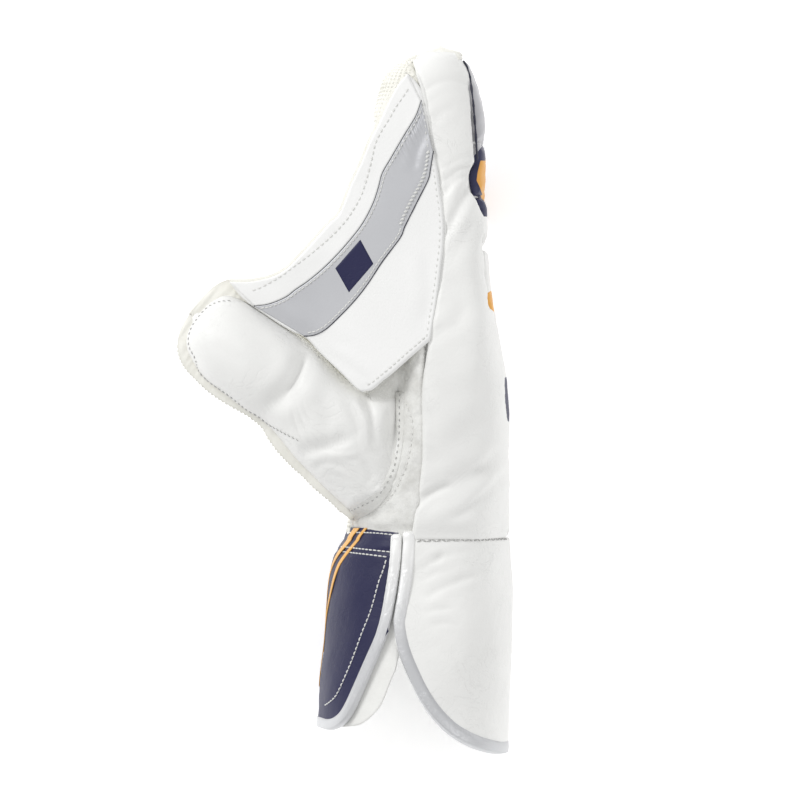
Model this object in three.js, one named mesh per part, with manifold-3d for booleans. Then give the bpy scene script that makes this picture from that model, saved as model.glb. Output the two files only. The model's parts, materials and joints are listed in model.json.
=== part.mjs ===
// Wicketkeeping glove for a right hand, lying on its little-finger edge with the thumb side up.
// Millimetres. +X is the back of the hand, +Y runs to the fingertips, +Z is up, to the thumb side.
// Before the finished glove is set on its resting face, x = 0 is the middle of the hand's depth,
// y = 0 the wrist seam and z = 0 the surface that the glove lies on.
import * as THREE from 'three';
import { mergeVertices } from 'three/addons/utils/BufferGeometryUtils.js';
import Module from 'manifold-3d';

const wasm = await Module();
wasm.setup();

// Driving dimensions
const HAND_LENGTH = 137; // wrist seam to the foot of the fingers
const HAND_DEPTH = 72; // palm to back at the wrist, leather only
const HAND_BREADTH = 122.5; // little-finger edge to index edge
const FINGER_PITCH = 31;
const FINGER_BREADTH = 28;
const FINGER_DEPTH = 44; // palm to back of a stall at its fullest
const INDEX_LENGTH = 90.5; // foot of the fingers to the tip of the stall
const MIDDLE_LENGTH = 92.8;
const RING_LENGTH = 86;
const LITTLE_LENGTH = 64;
const THUMB_LENGTH = 109; // root of the thumb to its tip
const THUMB_BREADTH = 44; // across the thumb, in the plane of the web
const THUMB_THICKNESS = 40;
const THUMB_SLOPE = 37; // degrees that the thumb rises above straight out of the palm
const THUMB_ROOT = { x: -0.425 * HAND_DEPTH, y: 0.309 * HAND_LENGTH };
const CUFF_LENGTH = 100.6;
const HAND_WALL = 5;
const KNUCKLE_WALL = 10; // length of the piece that joins the hand to the fingers
const FINGER_WALL = 4;
const THUMB_WALL = 4;
const CUFF_WALL = 6; // white tongue, behind
const PALM_CUFF_WALL = 3;
const CUFF_LINING = 5; // padded lining of the navy tongue
const RUBBER = 2.5; // palm and thumb facings
const SIDE_LEATHER = 2.5;
const PAD_THICKNESS = 3.2; // rolls on the back of the fingers
const GUSSET_LEATHER = 1.6;
const THUMB_RIM = 4; // ledge of rubber that stands out round the thumb's leather back
const WEB_THICKNESS = 3.2;
const STRIPE_THICKNESS = 1.2;
const WEB_RISE = 1.04 * HAND_BREADTH; // top of the web at the index seam
const WEB_FALL = 9; // degrees that the web drops towards the thumb
const BINDING_WIDTH = 5;
const BINDING_PROUD = 0.9; // binding stands proud of the cuff on both faces
const GAP = 0.3;
const LIFT = 1.5; // little finger clear of the surface, where its rubber goes under it
const PRESSED = 1.5; // how far the padding is flattened against the surface that it lies on

const AROUND_HAND = 28;
const AROUND_CUFF = 22;
const AROUND_FINGER = 16;
const AROUND_THUMB = 20;
const AROUND_INSIDE = 12;
const FAR = 400;
const SMOOTHED = 0.05; // faces closer to flat than this are made one

// Section tables. Each length is a share of the named size beside it.
// along: of HAND_LENGTH; palm and back: of HAND_DEPTH; top: of HAND_BREADTH. square: how boxy the
// thumb side is, from 2, an ellipse, up.
const HAND_SECTIONS = [
  { along: 0.0, palm: -0.645, back: 0.355, top: 0.87, square: 2.7 },
  { along: 0.2, palm: -0.57, back: 0.352, top: 0.91, square: 2.7 },
  { along: 0.42, palm: -0.42, back: 0.349, top: 0.965, square: 2.8 },
  { along: 0.59, palm: -0.35, back: 0.32, top: 0.99, square: 3.2 },
  { along: 0.72, palm: -0.33, back: 0.27, top: 1.0, square: 4.0 },
  { along: 0.85, palm: -0.324, back: 0.23, top: 1.0, square: 5.0 },
  { along: 1.0, palm: -0.324, back: 0.204, top: 1.0, square: 6.0 },
];
// along: of the finger's length; palm and back: of FINGER_DEPTH; side: of half FINGER_BREADTH.
const FINGER_SECTIONS = [
  { along: 0.0, palm: -0.545, back: 0.318, side: 1.0 },
  { along: 0.26, palm: -0.6, back: 0.3, side: 1.0 },
  { along: 0.38, palm: -0.63, back: 0.285, side: 0.96 },
  { along: 0.52, palm: -0.68, back: 0.29, side: 1.0 },
  { along: 0.7, palm: -0.735, back: 0.266, side: 0.99 },
  { along: 0.8, palm: -0.68, back: 0.22, side: 0.97 },
  { along: 0.86, palm: -0.6, back: 0.19, side: 0.93 },
  { along: 0.9, palm: -0.48, back: 0.15, side: 0.88 },
  { along: 0.94, palm: -0.35, back: 0.11, side: 0.8 },
  { along: 0.985, palm: -0.12, back: 0.03, side: 0.52 },
];
// along: of THUMB_LENGTH; low and high: of half THUMB_BREADTH; centre: of HAND_BREADTH;
// half: of half THUMB_THICKNESS.
const THUMB_SECTIONS = [
  { along: -0.1, low: -1.5, high: -0.4, centre: 0.74, half: 0.98 },
  { along: -0.06, low: -1.5, high: 0.05, centre: 0.745, half: 1.02 },
  { along: 0.01, low: -1.46, high: 0.66, centre: 0.76, half: 1.08 },
  { along: 0.1, low: -1.4, high: 1.18, centre: 0.78, half: 1.16 },
  { along: 0.19, low: -1.36, high: 0.88, centre: 0.79, half: 1.19 },
  { along: 0.3, low: -1.28, high: 0.74, centre: 0.805, half: 1.16 },
  { along: 0.42, low: -1.13, high: 0.8, centre: 0.82, half: 1.06 },
  { along: 0.53, low: -1.0, high: 0.88, centre: 0.83, half: 1.03 },
  { along: 0.68, low: -1.09, high: 0.8, centre: 0.845, half: 1.05 },
  { along: 0.81, low: -1.08, high: 0.76, centre: 0.85, half: 1.0 },
  { along: 0.9, low: -0.93, high: 0.7, centre: 0.85, half: 0.85 },
  { along: 0.985, low: -0.56, high: 0.4, centre: 0.85, half: 0.44 },
];
// Folds pressed into the leather of the thumb side. x, width and depth: of HAND_DEPTH;
// y: of HAND_LENGTH.
const HAND_FOLDS = [
  { fromX: -0.1, fromY: 0.3, toX: 0.28, toY: 0.66, width: 0.097, depth: 0.03 },
  { fromX: -0.2, fromY: 0.84, toX: 0.2, toY: 0.9, width: 0.11, depth: 0.018 },
];
// along and across: of THUMB_LENGTH; width and depth: of THUMB_THICKNESS.
const THUMB_FOLDS = [
  { fromAlong: 0.5, fromAcross: -0.26, toAlong: 0.3, toAcross: 0.12, width: 0.15, depth: 0.1 },
  { fromAlong: 0.12, fromAcross: -0.24, toAlong: 0.2, toAcross: 0.02, width: 0.175, depth: 0.075 },
];
// Edges of the leather side of the index finger and hand, in the side view.
// along: of HAND_LENGTH plus INDEX_LENGTH; palm and back: of HAND_DEPTH.
const SIDE_EDGES = [
  { along: 0.002, palm: -0.246, back: 0.368 },
  { along: 0.054, palm: -0.233, back: 0.365 },
  { along: 0.103, palm: -0.202, back: 0.36 },
  { along: 0.169, palm: -0.181, back: 0.338 },
  { along: 0.248, palm: -0.174, back: 0.326 },
  { along: 0.324, palm: -0.174, back: 0.312 },
  { along: 0.403, palm: -0.139, back: 0.29 },
  { along: 0.49, palm: -0.096, back: 0.235 },
  { along: 0.568, palm: -0.063, back: 0.217 },
  { along: 0.645, palm: -0.044, back: 0.205 },
  { along: 0.725, palm: -0.07, back: 0.15 },
  { along: 0.806, palm: -0.116, back: 0.16 },
  { along: 0.886, palm: -0.155, back: 0.143 },
  { along: 0.938, palm: -0.187, back: 0.124 },
  { along: 0.979, palm: -0.235, back: 0.095 },
];
// Outline of the web. x: of HAND_DEPTH; y: of HAND_LENGTH plus INDEX_LENGTH.
const WEB_CATCH_EDGE = [
  { x: -1.486, y: 0.531 },
  { x: -1.323, y: 0.533 },
  { x: -1.14, y: 0.545 },
  { x: -0.977, y: 0.587 },
  { x: -0.788, y: 0.653 },
  { x: -0.651, y: 0.723 },
  { x: -0.579, y: 0.769 },
  { x: -0.52, y: 0.816 },
  { x: -0.468, y: 0.851 },
  { x: -0.39, y: 0.909 },
  { x: -0.305, y: 0.954 },
];
const WEB_CORNER = { x: -0.566, y: 0.308 };
const WEB_FOOT = { x: -0.142, y: 0.411 };
// The suede between the thumb and the hand, seen under the web's free corner.
const GUSSET_LOW = 0.6; // of HAND_BREADTH
const GUSSET_CORNER = [
  { x: -0.64, y: 0.32 },
  { x: -0.45, y: 0.388 },
  { x: -0.11, y: 0.41 },
  { x: -0.16, y: 0.3 },
  { x: -0.4, y: 0.28 },
];
// Widths of the bands of the web, measured in from its catching edge.
const RIM_BAND = 12;
const STRIPE_BAND = 18;
// Outlines of the two halves of the cuff, below the wrist seam.
// x: of HAND_DEPTH; y: of CUFF_LENGTH.
const BACK_CUFF_EDGE = [
  { x: -0.3, y: 0.0 },
  { x: -0.307, y: -0.093 },
  { x: -0.324, y: -0.21 },
  { x: -0.357, y: -0.35 },
  { x: -0.368, y: -0.43 },
  { x: -0.331, y: -0.523 },
  { x: -0.259, y: -0.64 },
  { x: -0.197, y: -0.733 },
  { x: -0.109, y: -0.822 },
  { x: -0.011, y: -0.892 },
  { x: 0.107, y: -0.944 },
  { x: 0.224, y: -0.979 },
  { x: 0.33, y: -1.0 },
];
const PALM_CUFF_EDGE = [
  { x: -0.324, y: 0.0 },
  { x: -0.337, y: -0.135 },
  { x: -0.385, y: -0.35 },
  { x: -0.405, y: -0.43 },
  { x: -0.455, y: -0.5 },
  { x: -0.533, y: -0.626 },
  { x: -0.605, y: -0.738 },
  { x: -0.65, y: -0.804 },
  { x: -0.705, y: -0.855 },
  { x: -0.78, y: -0.885 },
  { x: -0.85, y: -0.875 },
];
const CUFF_LINING_EDGE = [
  { x: -0.324, y: 0.0 },
  { x: -0.336, y: -0.135 },
  { x: -0.388, y: -0.36 },
  { x: -0.352, y: -0.505 },
  { x: -0.372, y: -0.589 },
  { x: -0.416, y: -0.668 },
  { x: -0.461, y: -0.752 },
  { x: -0.514, y: -0.808 },
  { x: -0.612, y: -0.86 },
  { x: -0.72, y: -0.869 },
];
// along: of CUFF_LENGTH, down from the wrist; palm and back: of HAND_DEPTH; top: of HAND_BREADTH.
const CUFF_SECTIONS = [
  { along: 0.0, palm: -0.685, back: 0.394, top: 0.885 },
  { along: 0.06, palm: -0.742, back: 0.4, top: 0.887 },
  { along: 0.15, palm: -0.775, back: 0.405, top: 0.89 },
  { along: 0.32, palm: -0.797, back: 0.413, top: 0.905 },
  { along: 0.48, palm: -0.812, back: 0.405, top: 0.915 },
  { along: 0.66, palm: -0.843, back: 0.397, top: 0.925 },
  { along: 0.82, palm: -0.856, back: 0.388, top: 0.93 },
  { along: 1.05, palm: -0.865, back: 0.372, top: 0.935 },
];
// The rolls on each finger's back, as shares of the finger's length.
const BACK_ROLLS = [
  { name: 'knuckle_roll', from: 0.02, to: 0.25, colour: 'white' },
  { name: 'middle_roll', from: 0.27, to: 0.53, colour: 'navy' },
  { name: 'tip_roll', from: 0.55, to: 0.955, colour: 'grey' },
];

const FINGERS = [
  { name: 'little', length: LITTLE_LENGTH, place: 0 },
  { name: 'ring', length: RING_LENGTH, place: 1 },
  { name: 'middle', length: MIDDLE_LENGTH, place: 2 },
  { name: 'index', length: INDEX_LENGTH, place: 3 },
];
const FINGER_FOOT = FINGER_BREADTH / 2 + LIFT;
const REACH = HAND_LENGTH + INDEX_LENGTH;

const LEATHER = { color: 0xf0f0ee, roughness: 0.55, metalness: 0 };
const FINISHES = {
  white: LEATHER,
  suede: { color: 0xe6e6e1, roughness: 0.9, metalness: 0 },
  rubber: { color: 0xeeeee6, roughness: 0.75, metalness: 0 },
  grey: { color: 0xbabbbf, roughness: 0.45, metalness: 0.1 },
  navy: { color: 0x34365c, roughness: 0.45, metalness: 0 },
  silver: { color: 0xc9cacc, roughness: 0.4, metalness: 0.2 },
};

// A value read from a table at any place along it, on a smooth curve through its rows.
function tableValue(rows, key, at) {
  const last = rows.length - 1;
  let i = 0;
  while (i < last - 1 && at > rows[i + 1].along) i += 1;
  const span = rows[i + 1].along - rows[i].along;
  const t = THREE.MathUtils.clamp((at - rows[i].along) / span, 0, 1);
  const slope = (a, b) => (rows[b][key] - rows[a][key]) / (rows[b].along - rows[a].along);
  const startSlope = slope(Math.max(i - 1, 0), i + 1) * span;
  const endSlope = slope(i, Math.min(i + 2, last)) * span;
  const t2 = t * t;
  const t3 = t2 * t;
  return (
    rows[i][key] * (2 * t3 - 3 * t2 + 1) +
    startSlope * (t3 - 2 * t2 + t) +
    rows[i + 1][key] * (3 * t2 - 2 * t3) +
    endSlope * (t3 - t2)
  );
}

// One section: a rounded box between two corners of the (a, b) plane, whose lower half can be flatter.
function section(count, a0, a1, b0, b1, upper, lower) {
  const points = [];
  for (let i = 0; i < count; i += 1) {
    const turn = (2 * Math.PI * (i + 0.5)) / count;
    const power = 2 / (Math.sin(turn) < 0 ? lower : upper);
    const a = Math.sign(Math.cos(turn)) * Math.abs(Math.cos(turn)) ** power;
    const b = Math.sign(Math.sin(turn)) * Math.abs(Math.sin(turn)) ** power;
    points.push([(a0 + a1) / 2 + (a * (a1 - a0)) / 2, (b0 + b1) / 2 + (b * (b1 - b0)) / 2]);
  }
  return points;
}

// A closed solid through rings of equal count, with flat or pointed ends.
function loft(rings) {
  const count = rings[0].length;
  const positions = rings.flat(2);
  const indices = [];
  for (let r = 0; r < rings.length - 1; r += 1) {
    for (let i = 0; i < count; i += 1) {
      const j = (i + 1) % count;
      const a = r * count;
      const b = a + count;
      indices.push(a + i, a + j, b + j, a + i, b + j, b + i);
    }
  }
  [0, rings.length - 1].forEach((r) => {
    const middle = [0, 1, 2].map((k) => rings[r].reduce((sum, p) => sum + p[k], 0) / count);
    const centre = positions.length / 3;
    positions.push(...middle);
    for (let i = 0; i < count; i += 1) {
      const edge = [r * count + i, r * count + ((i + 1) % count)];
      indices.push(centre, ...(r === 0 ? edge.reverse() : edge));
    }
  });
  return solidOf(positions, indices);
}

function solidOf(positions, indices) {
  const build = (tris) =>
    new wasm.Manifold(
      new wasm.Mesh({
        numProp: 3,
        vertProperties: new Float32Array(positions),
        triVerts: new Uint32Array(tris),
      }),
    );
  const made = build(indices);
  if (made.volume() > 0) return made;
  const turned = [];
  for (let i = 0; i < indices.length; i += 3) turned.push(indices[i], indices[i + 2], indices[i + 1]);
  return build(turned);
}

function solidOfGeometry(geometry) {
  const plain = new THREE.BufferGeometry();
  const source = geometry.index ? geometry.toNonIndexed() : geometry;
  plain.setAttribute('position', source.getAttribute('position'));
  const merged = mergeVertices(plain, 1e-4);
  return solidOf(Array.from(merged.attributes.position.array), Array.from(merged.index.array));
}

function box(x0, x1, y0, y1, z0, z1) {
  const made = new THREE.BoxGeometry(x1 - x0, y1 - y0, z1 - z0);
  made.translate((x0 + x1) / 2, (y0 + y1) / 2, (z0 + z1) / 2);
  return solidOfGeometry(made);
}

// An outline of the side view, run straight up from z0 to z1.
function prism(points, z0, z1) {
  const shape = new THREE.Shape(points.map((p) => new THREE.Vector2(p[0], p[1])));
  const made = new THREE.ExtrudeGeometry(shape, { depth: z1 - z0, bevelEnabled: false });
  made.translate(0, 0, z0);
  return solidOfGeometry(made);
}

const join = (solids) => solids.reduce((a, b) => a.add(b));
const stations = (from, to, count) =>
  Array.from({ length: count }, (_, i) => from + ((to - from) * i) / (count - 1));

// How far a fold presses in at a point of the side view.
function foldDepth(folds, x, y) {
  return folds.reduce((sum, fold) => {
    const dx = fold.to[0] - fold.from[0];
    const dy = fold.to[1] - fold.from[1];
    const t = THREE.MathUtils.clamp(
      ((x - fold.from[0]) * dx + (y - fold.from[1]) * dy) / (dx * dx + dy * dy), 0, 1);
    const away = Math.hypot(x - fold.from[0] - t * dx, y - fold.from[1] - t * dy);
    return sum + fold.depth * Math.exp(-((away / fold.width) ** 2));
  }, 0);
}

const handFolds = HAND_FOLDS.map((f) => ({
  from: [f.fromX * HAND_DEPTH, f.fromY * HAND_LENGTH],
  to: [f.toX * HAND_DEPTH, f.toY * HAND_LENGTH],
  width: f.width * HAND_DEPTH,
  depth: f.depth * HAND_DEPTH,
}));

// The hand without its fingers. grow moves the whole surface out, or in when it is negative.
function handForm(grow, count = AROUND_HAND, steps = 9) {
  const rings = stations(0, 1, steps).map((at) => {
    const palm = tableValue(HAND_SECTIONS, 'palm', at) * HAND_DEPTH - grow;
    const back = tableValue(HAND_SECTIONS, 'back', at) * HAND_DEPTH + grow;
    const top = tableValue(HAND_SECTIONS, 'top', at) * HAND_BREADTH + grow;
    const y = at * HAND_LENGTH;
    const low = grow < 0 ? -grow : -PRESSED;
    const square = tableValue(HAND_SECTIONS, 'square', at);
    return section(count, palm, back, low, top, square, 5).map(([x, z]) => {
      const onTop = THREE.MathUtils.smoothstep(z, HAND_BREADTH / 2, HAND_BREADTH * 0.8);
      return [x, y, z - onTop * foldDepth(handFolds, x, y)];
    });
  });
  return loft(rings);
}

function fingerForm(finger, growPalm, growSide, growBack, count = AROUND_FINGER, steps = 9, from = 0) {
  const middle = FINGER_FOOT + finger.place * FINGER_PITCH;
  const rise = Math.max(growPalm, growBack) / finger.length;
  const last = FINGER_SECTIONS[FINGER_SECTIONS.length - 1].along;
  const rings = stations(0, 1, steps).map((step) => {
    // Stations crowd towards the tip, where the outline turns quickest.
    const at = from + (last - from) * Math.sin((step * Math.PI) / 2);
    const half = (tableValue(FINGER_SECTIONS, 'side', at) * FINGER_BREADTH) / 2 + growSide;
    const palm = tableValue(FINGER_SECTIONS, 'palm', at) * FINGER_DEPTH - growPalm;
    const back = tableValue(FINGER_SECTIONS, 'back', at) * FINGER_DEPTH + growBack;
    const y = HAND_LENGTH + (at + rise * at) * finger.length;
    return section(count, palm, back, middle - half, middle + half, 2.6, 2.6).map(([x, z]) => [x, y, z]);
  });
  return loft(rings);
}

const slope = THREE.MathUtils.degToRad(THUMB_SLOPE);
const thumbAxis = [-Math.cos(slope), Math.sin(slope)];
const thumbSide = [Math.sin(slope), Math.cos(slope)];
const thumbPoint = (along, across) => [
  THUMB_ROOT.x + along * thumbAxis[0] + across * thumbSide[0],
  THUMB_ROOT.y + along * thumbAxis[1] + across * thumbSide[1],
];
const thumbFolds = THUMB_FOLDS.map((f) => ({
  from: thumbPoint(f.fromAlong * THUMB_LENGTH, f.fromAcross * THUMB_LENGTH),
  to: thumbPoint(f.toAlong * THUMB_LENGTH, f.toAcross * THUMB_LENGTH),
  width: f.width * THUMB_THICKNESS,
  depth: f.depth * THUMB_THICKNESS,
}));

function thumbForm(growAcross, growUp, count = AROUND_THUMB, steps = 11) {
  const last = THUMB_SECTIONS[THUMB_SECTIONS.length - 1].along;
  const first = THUMB_SECTIONS[0].along;
  const rings = stations(0, 1, steps).map((step) => {
    const at = first + (last - first) * Math.sin((step * Math.PI) / 2);
    const low = (tableValue(THUMB_SECTIONS, 'low', at) * THUMB_BREADTH) / 2 - growAcross;
    const high = (tableValue(THUMB_SECTIONS, 'high', at) * THUMB_BREADTH) / 2 + growAcross;
    const centre = tableValue(THUMB_SECTIONS, 'centre', at) * HAND_BREADTH;
    const half = (tableValue(THUMB_SECTIONS, 'half', at) * THUMB_THICKNESS) / 2 + growUp;
    const along = at * THUMB_LENGTH + growAcross * Math.max(at, 0);
    return section(count, low, high, centre - half, centre + half, 2.5, 2.5).map(([across, z]) => {
      const [x, y] = thumbPoint(along, across);
      const onTop = THREE.MathUtils.smoothstep(z, centre, centre + half * 0.6);
      return [x, y, z - onTop * foldDepth(thumbFolds, x, y)];
    });
  });
  return loft(rings);
}

function cuffForm(grow) {
  const rings = CUFF_SECTIONS.map((row) =>
    section(
      AROUND_CUFF, row.palm * HAND_DEPTH - grow, row.back * HAND_DEPTH + grow,
      grow < 0 ? -grow : -PRESSED, row.top * HAND_BREADTH + grow, 2.5, 4.5,
    ).map(([x, z]) => [x, -row.along * CUFF_LENGTH, z]));
  return loft(rings);
}

// Space for the hand: one hollow through the wrist, the palm, the fingers and the thumb.
const handHollow = handForm(-HAND_WALL, AROUND_INSIDE + 4, 7)
  .intersect(box(-FAR, FAR, -FAR, HAND_LENGTH - HAND_WALL, -FAR, FAR));
const fingerHollows = FINGERS.map((finger) =>
  fingerForm({ ...finger, length: finger.length - FINGER_WALL },
    -FINGER_WALL, -FINGER_WALL / 2 - GAP, -FINGER_WALL, AROUND_INSIDE, 7,
    -2 * HAND_WALL / finger.length));
const thumbHollow = thumbForm(-THUMB_WALL, -THUMB_WALL, AROUND_INSIDE, 8);
const hollow = join([handHollow, ...fingerHollows, thumbHollow]);

// The leather hand, pierced for the thumb, and the wall that the fingers stand on
const handLeather = handForm(0).subtract(hollow);
const knuckleStart = HAND_LENGTH - KNUCKLE_WALL;
const handShell = handLeather.intersect(box(-FAR, FAR, 0, knuckleStart - GAP, -FAR, FAR));
const knuckleWall = handLeather
  .intersect(box(-FAR, FAR, knuckleStart, HAND_LENGTH - GAP, -FAR, FAR));

const fingerStalls = FINGERS.map((finger, i) => ({
  name: `${finger.name}_stall`,
  finish: 'white',
  solid: fingerForm(finger, 0, 0, 0).subtract(fingerHollows[i])
    .intersect(box(-FAR, FAR, HAND_LENGTH, FAR, -FAR, FAR)),
}));

// The thumb: a leather back over a rubber front, which stands out round it as a rim.
const thumbSeam = (grow) => {
  const rows = THUMB_SECTIONS;
  const rings = [-0.2, 0.3, 0.7, 1.2].map((at) => {
    const z = tableValue(rows, 'centre', at) * HAND_BREADTH + grow;
    return [[-1, -FAR], [1, -FAR], [1, z], [-1, z]].map(([side, height]) => {
      const [x, y] = thumbPoint(at * THUMB_LENGTH, side * THUMB_BREADTH * 1.6);
      return [x, y, height];
    });
  });
  return loft(rings);
};
const thumbClear = handForm(RUBBER + 2 * GAP);
const thumbBack = thumbForm(0, 0).subtract(thumbSeam(0)).subtract(hollow).subtract(thumbClear);
const thumbFacing = thumbForm(THUMB_RIM, RUBBER)
  .intersect(thumbSeam(-GAP)).subtract(hollow).subtract(thumbClear);

// The rubber palm: one sheet with four lobes that wrap over the fingertips
const sideEdge = (key) =>
  SIDE_EDGES.map((row) => [row[key] * HAND_DEPTH, row.along * REACH]);
const palmSide = prism(
  [[-FAR, -1], [SIDE_EDGES[0].palm * HAND_DEPTH - GAP, -1],
    ...sideEdge('palm').map(([x, y]) => [x - GAP, y]), [-FAR, REACH]], -FAR, FAR);
const thumbGrown = thumbForm(THUMB_RIM + GAP, RUBBER + GAP);
const palmSheet = handForm(RUBBER + GAP)
  .subtract(handForm(GAP))
  .intersect(palmSide)
  .intersect(box(-FAR, FAR, GAP, HAND_LENGTH + GAP, 0, FAR));
const FINGERTIP_WRAP = 5; // how far down the back the rubber turns over a fingertip
const palmLobes = FINGERS.map((finger) => {
  const tip = HAND_LENGTH + finger.length;
  const share = finger.length / INDEX_LENGTH;
  const edge = sideEdge('palm').filter(([, y]) => y > HAND_LENGTH)
    .map(([x, y]) => [x - GAP, HAND_LENGTH + (y - HAND_LENGTH) * share]);
  const reach = prism(
    [[-FAR, HAND_LENGTH], [edge[0][0], HAND_LENGTH], ...edge.slice(0, -2),
      [edge[0][0], tip - FINGERTIP_WRAP], [FAR, tip - FINGERTIP_WRAP], [FAR, FAR], [-FAR, FAR]],
    -FAR, FAR);
  return fingerForm(finger, RUBBER + GAP, FINGER_PITCH / 2 - FINGER_BREADTH / 2 - GAP, RUBBER + GAP)
    .subtract(fingerForm(finger, GAP, GAP, GAP))
    .intersect(reach);
});
const index = FINGERS[3];
// The side view's outline of the leather side, from the middle of the index finger up.
const sideRegion = (grow) => {
  const edges = [
    ...sideEdge('palm').map(([x, y]) => [x - grow, y]),
    ...sideEdge('back').reverse().map(([x, y]) => [x + grow, y]),
  ];
  const low = edges[0][1];
  const high = edges[SIDE_EDGES.length][1];
  const ends = edges.map(([x, y]) => [x, y === low ? y - grow : y === high ? y + grow : y]);
  return prism(ends, FINGER_FOOT + index.place * FINGER_PITCH - grow, FAR);
};
const gussetRegion = (grow) =>
  box(-FAR, FAR, -1, WEB_FOOT.y * REACH + grow, GUSSET_LOW * HAND_BREADTH - grow, FAR);
const palmFacing = join([palmSheet, ...palmLobes]).subtract(thumbGrown).subtract(hollow)
  .subtract(sideRegion(GAP)).subtract(gussetRegion(GAP));

// The padded leather side of the index finger and the hand
const sideSkin = (out, away) =>
  handForm(out).intersect(box(-FAR, FAR, 0, HAND_LENGTH + GAP, -FAR, FAR))
    .add(fingerForm(index, out, out, out))
    .subtract(handForm(away))
    .subtract(fingerForm(index, away, away, away));
const sidePanel = sideSkin(SIDE_LEATHER + GAP, GAP).intersect(sideRegion(0));

// Rolls across the back of each finger
const backRolls = FINGERS.flatMap((finger) =>
  BACK_ROLLS.map((roll) => {
    const share = finger.length / INDEX_LENGTH;
    const y0 = HAND_LENGTH + roll.from * finger.length;
    const y1 = HAND_LENGTH + roll.to * finger.length;
    const edge = sideEdge('back').filter(([, y]) => y > HAND_LENGTH)
      .map(([x, y]) => [x + GAP, HAND_LENGTH + (y - HAND_LENGTH) * share]);
    const behind = prism(
      [[edge[0][0], HAND_LENGTH], [FAR, HAND_LENGTH], [FAR, HAND_LENGTH + finger.length],
        ...edge.slice().reverse()], -FAR, FAR);
    const growSide = FINGER_PITCH / 2 - FINGER_BREADTH / 2 - GAP;
    const solid = fingerForm(finger, 0, growSide, PAD_THICKNESS + GAP)
      .subtract(fingerForm(finger, GAP, GAP, GAP))
      .intersect(behind)
      .intersect(box(-FAR, FAR, y0, Math.min(y1, HAND_LENGTH + finger.length - FINGERTIP_WRAP - GAP), -FAR, FAR));
    const clear = finger === index ? solid.subtract(sideRegion(GAP)) : solid;
    return { name: `${finger.name}_${roll.name}`, finish: roll.colour, solid: clear };
  }));

// The back of the hand
const backEdge = sideEdge('back').filter(([, y]) => y < HAND_LENGTH).map(([x, y]) => [x + GAP, y]);
const backPanel = handForm(SIDE_LEATHER + GAP)
  .subtract(handForm(GAP))
  .intersect(prism([...backEdge, [backEdge[backEdge.length - 1][0], HAND_LENGTH],
    [FAR, HAND_LENGTH], [FAR, backEdge[0][1]]], 0, FAR))
  .subtract(sideRegion(GAP));

// The web: a stiff plate that falls from the index seam to the thumb
const webPoint = (p) => [p.x * HAND_DEPTH, p.y * REACH];
const catchEdge = new THREE.CatmullRomCurve3(
  WEB_CATCH_EDGE.map((p) => new THREE.Vector3(...webPoint(p), 0)));
const catchLine = (inset) =>
  stations(0, 1, 15).map((t) => {
    const at = catchEdge.getPoint(t);
    const dir = catchEdge.getTangent(t);
    return [at.x + dir.y * inset, at.y - dir.x * inset];
  });
const webLeft = [webPoint(WEB_CATCH_EDGE[0]), webPoint(WEB_CORNER)];
const webSeam = sideEdge('palm').filter(([, y]) => y > WEB_FOOT.y * REACH && y < 0.95 * REACH)
  .map(([x, y]) => [x - GAP, y]);
const webOutline = prism(
  [webLeft[1], webPoint(WEB_FOOT), ...webSeam, ...catchLine(0).reverse()], 0, FAR);
const fall = Math.tan(THREE.MathUtils.degToRad(WEB_FALL));
const webSlab = (top, thickness) => {
  const x0 = -FAR;
  const x1 = FAR;
  const hinge = SIDE_EDGES[8].palm * HAND_DEPTH;
  const height = (x) => top + (x - hinge) * fall;
  const rings = [-FAR, FAR].map((y) => [
    [x0, y, height(x0) - thickness], [x1, y, height(x1) - thickness],
    [x1, y, height(x1)], [x0, y, height(x0)]]);
  return loft(rings);
};
const gussetSlab = webSlab(WEB_RISE - WEB_THICKNESS - 2 * GAP, GUSSET_LEATHER)
  .intersect(prism(GUSSET_CORNER.map(webPoint), 0, FAR))
  .subtract(handForm(GAP)).subtract(thumbForm(GAP, GAP));
const gusset = palmSheet.intersect(gussetRegion(0)).add(gussetSlab)
  .subtract(thumbGrown).subtract(hollow).subtract(sideRegion(GAP));
const bandRegion = (from, to) =>
  prism([...catchLine(from), ...catchLine(to).reverse()], 0, FAR);
const CLEAR = RUBBER + 2 * GAP;
const webBed = join([
  thumbForm(GAP, GAP),
  thumbGrown.intersect(thumbSeam(GAP)),
  handForm(CLEAR),
  fingerForm(index, CLEAR, CLEAR, CLEAR),
]);
const webPlate = webSlab(WEB_RISE, WEB_THICKNESS).intersect(webOutline).subtract(webBed);
const webStripe = webSlab(WEB_RISE + GAP + STRIPE_THICKNESS, STRIPE_THICKNESS)
  .intersect(webOutline).intersect(bandRegion(RIM_BAND, RIM_BAND + STRIPE_BAND))
  .subtract(webBed);
const webRim = webSlab(WEB_RISE + GAP + STRIPE_THICKNESS, STRIPE_THICKNESS)
  .intersect(webOutline).intersect(bandRegion(GAP, RIM_BAND - GAP))
  .subtract(webBed);

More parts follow.
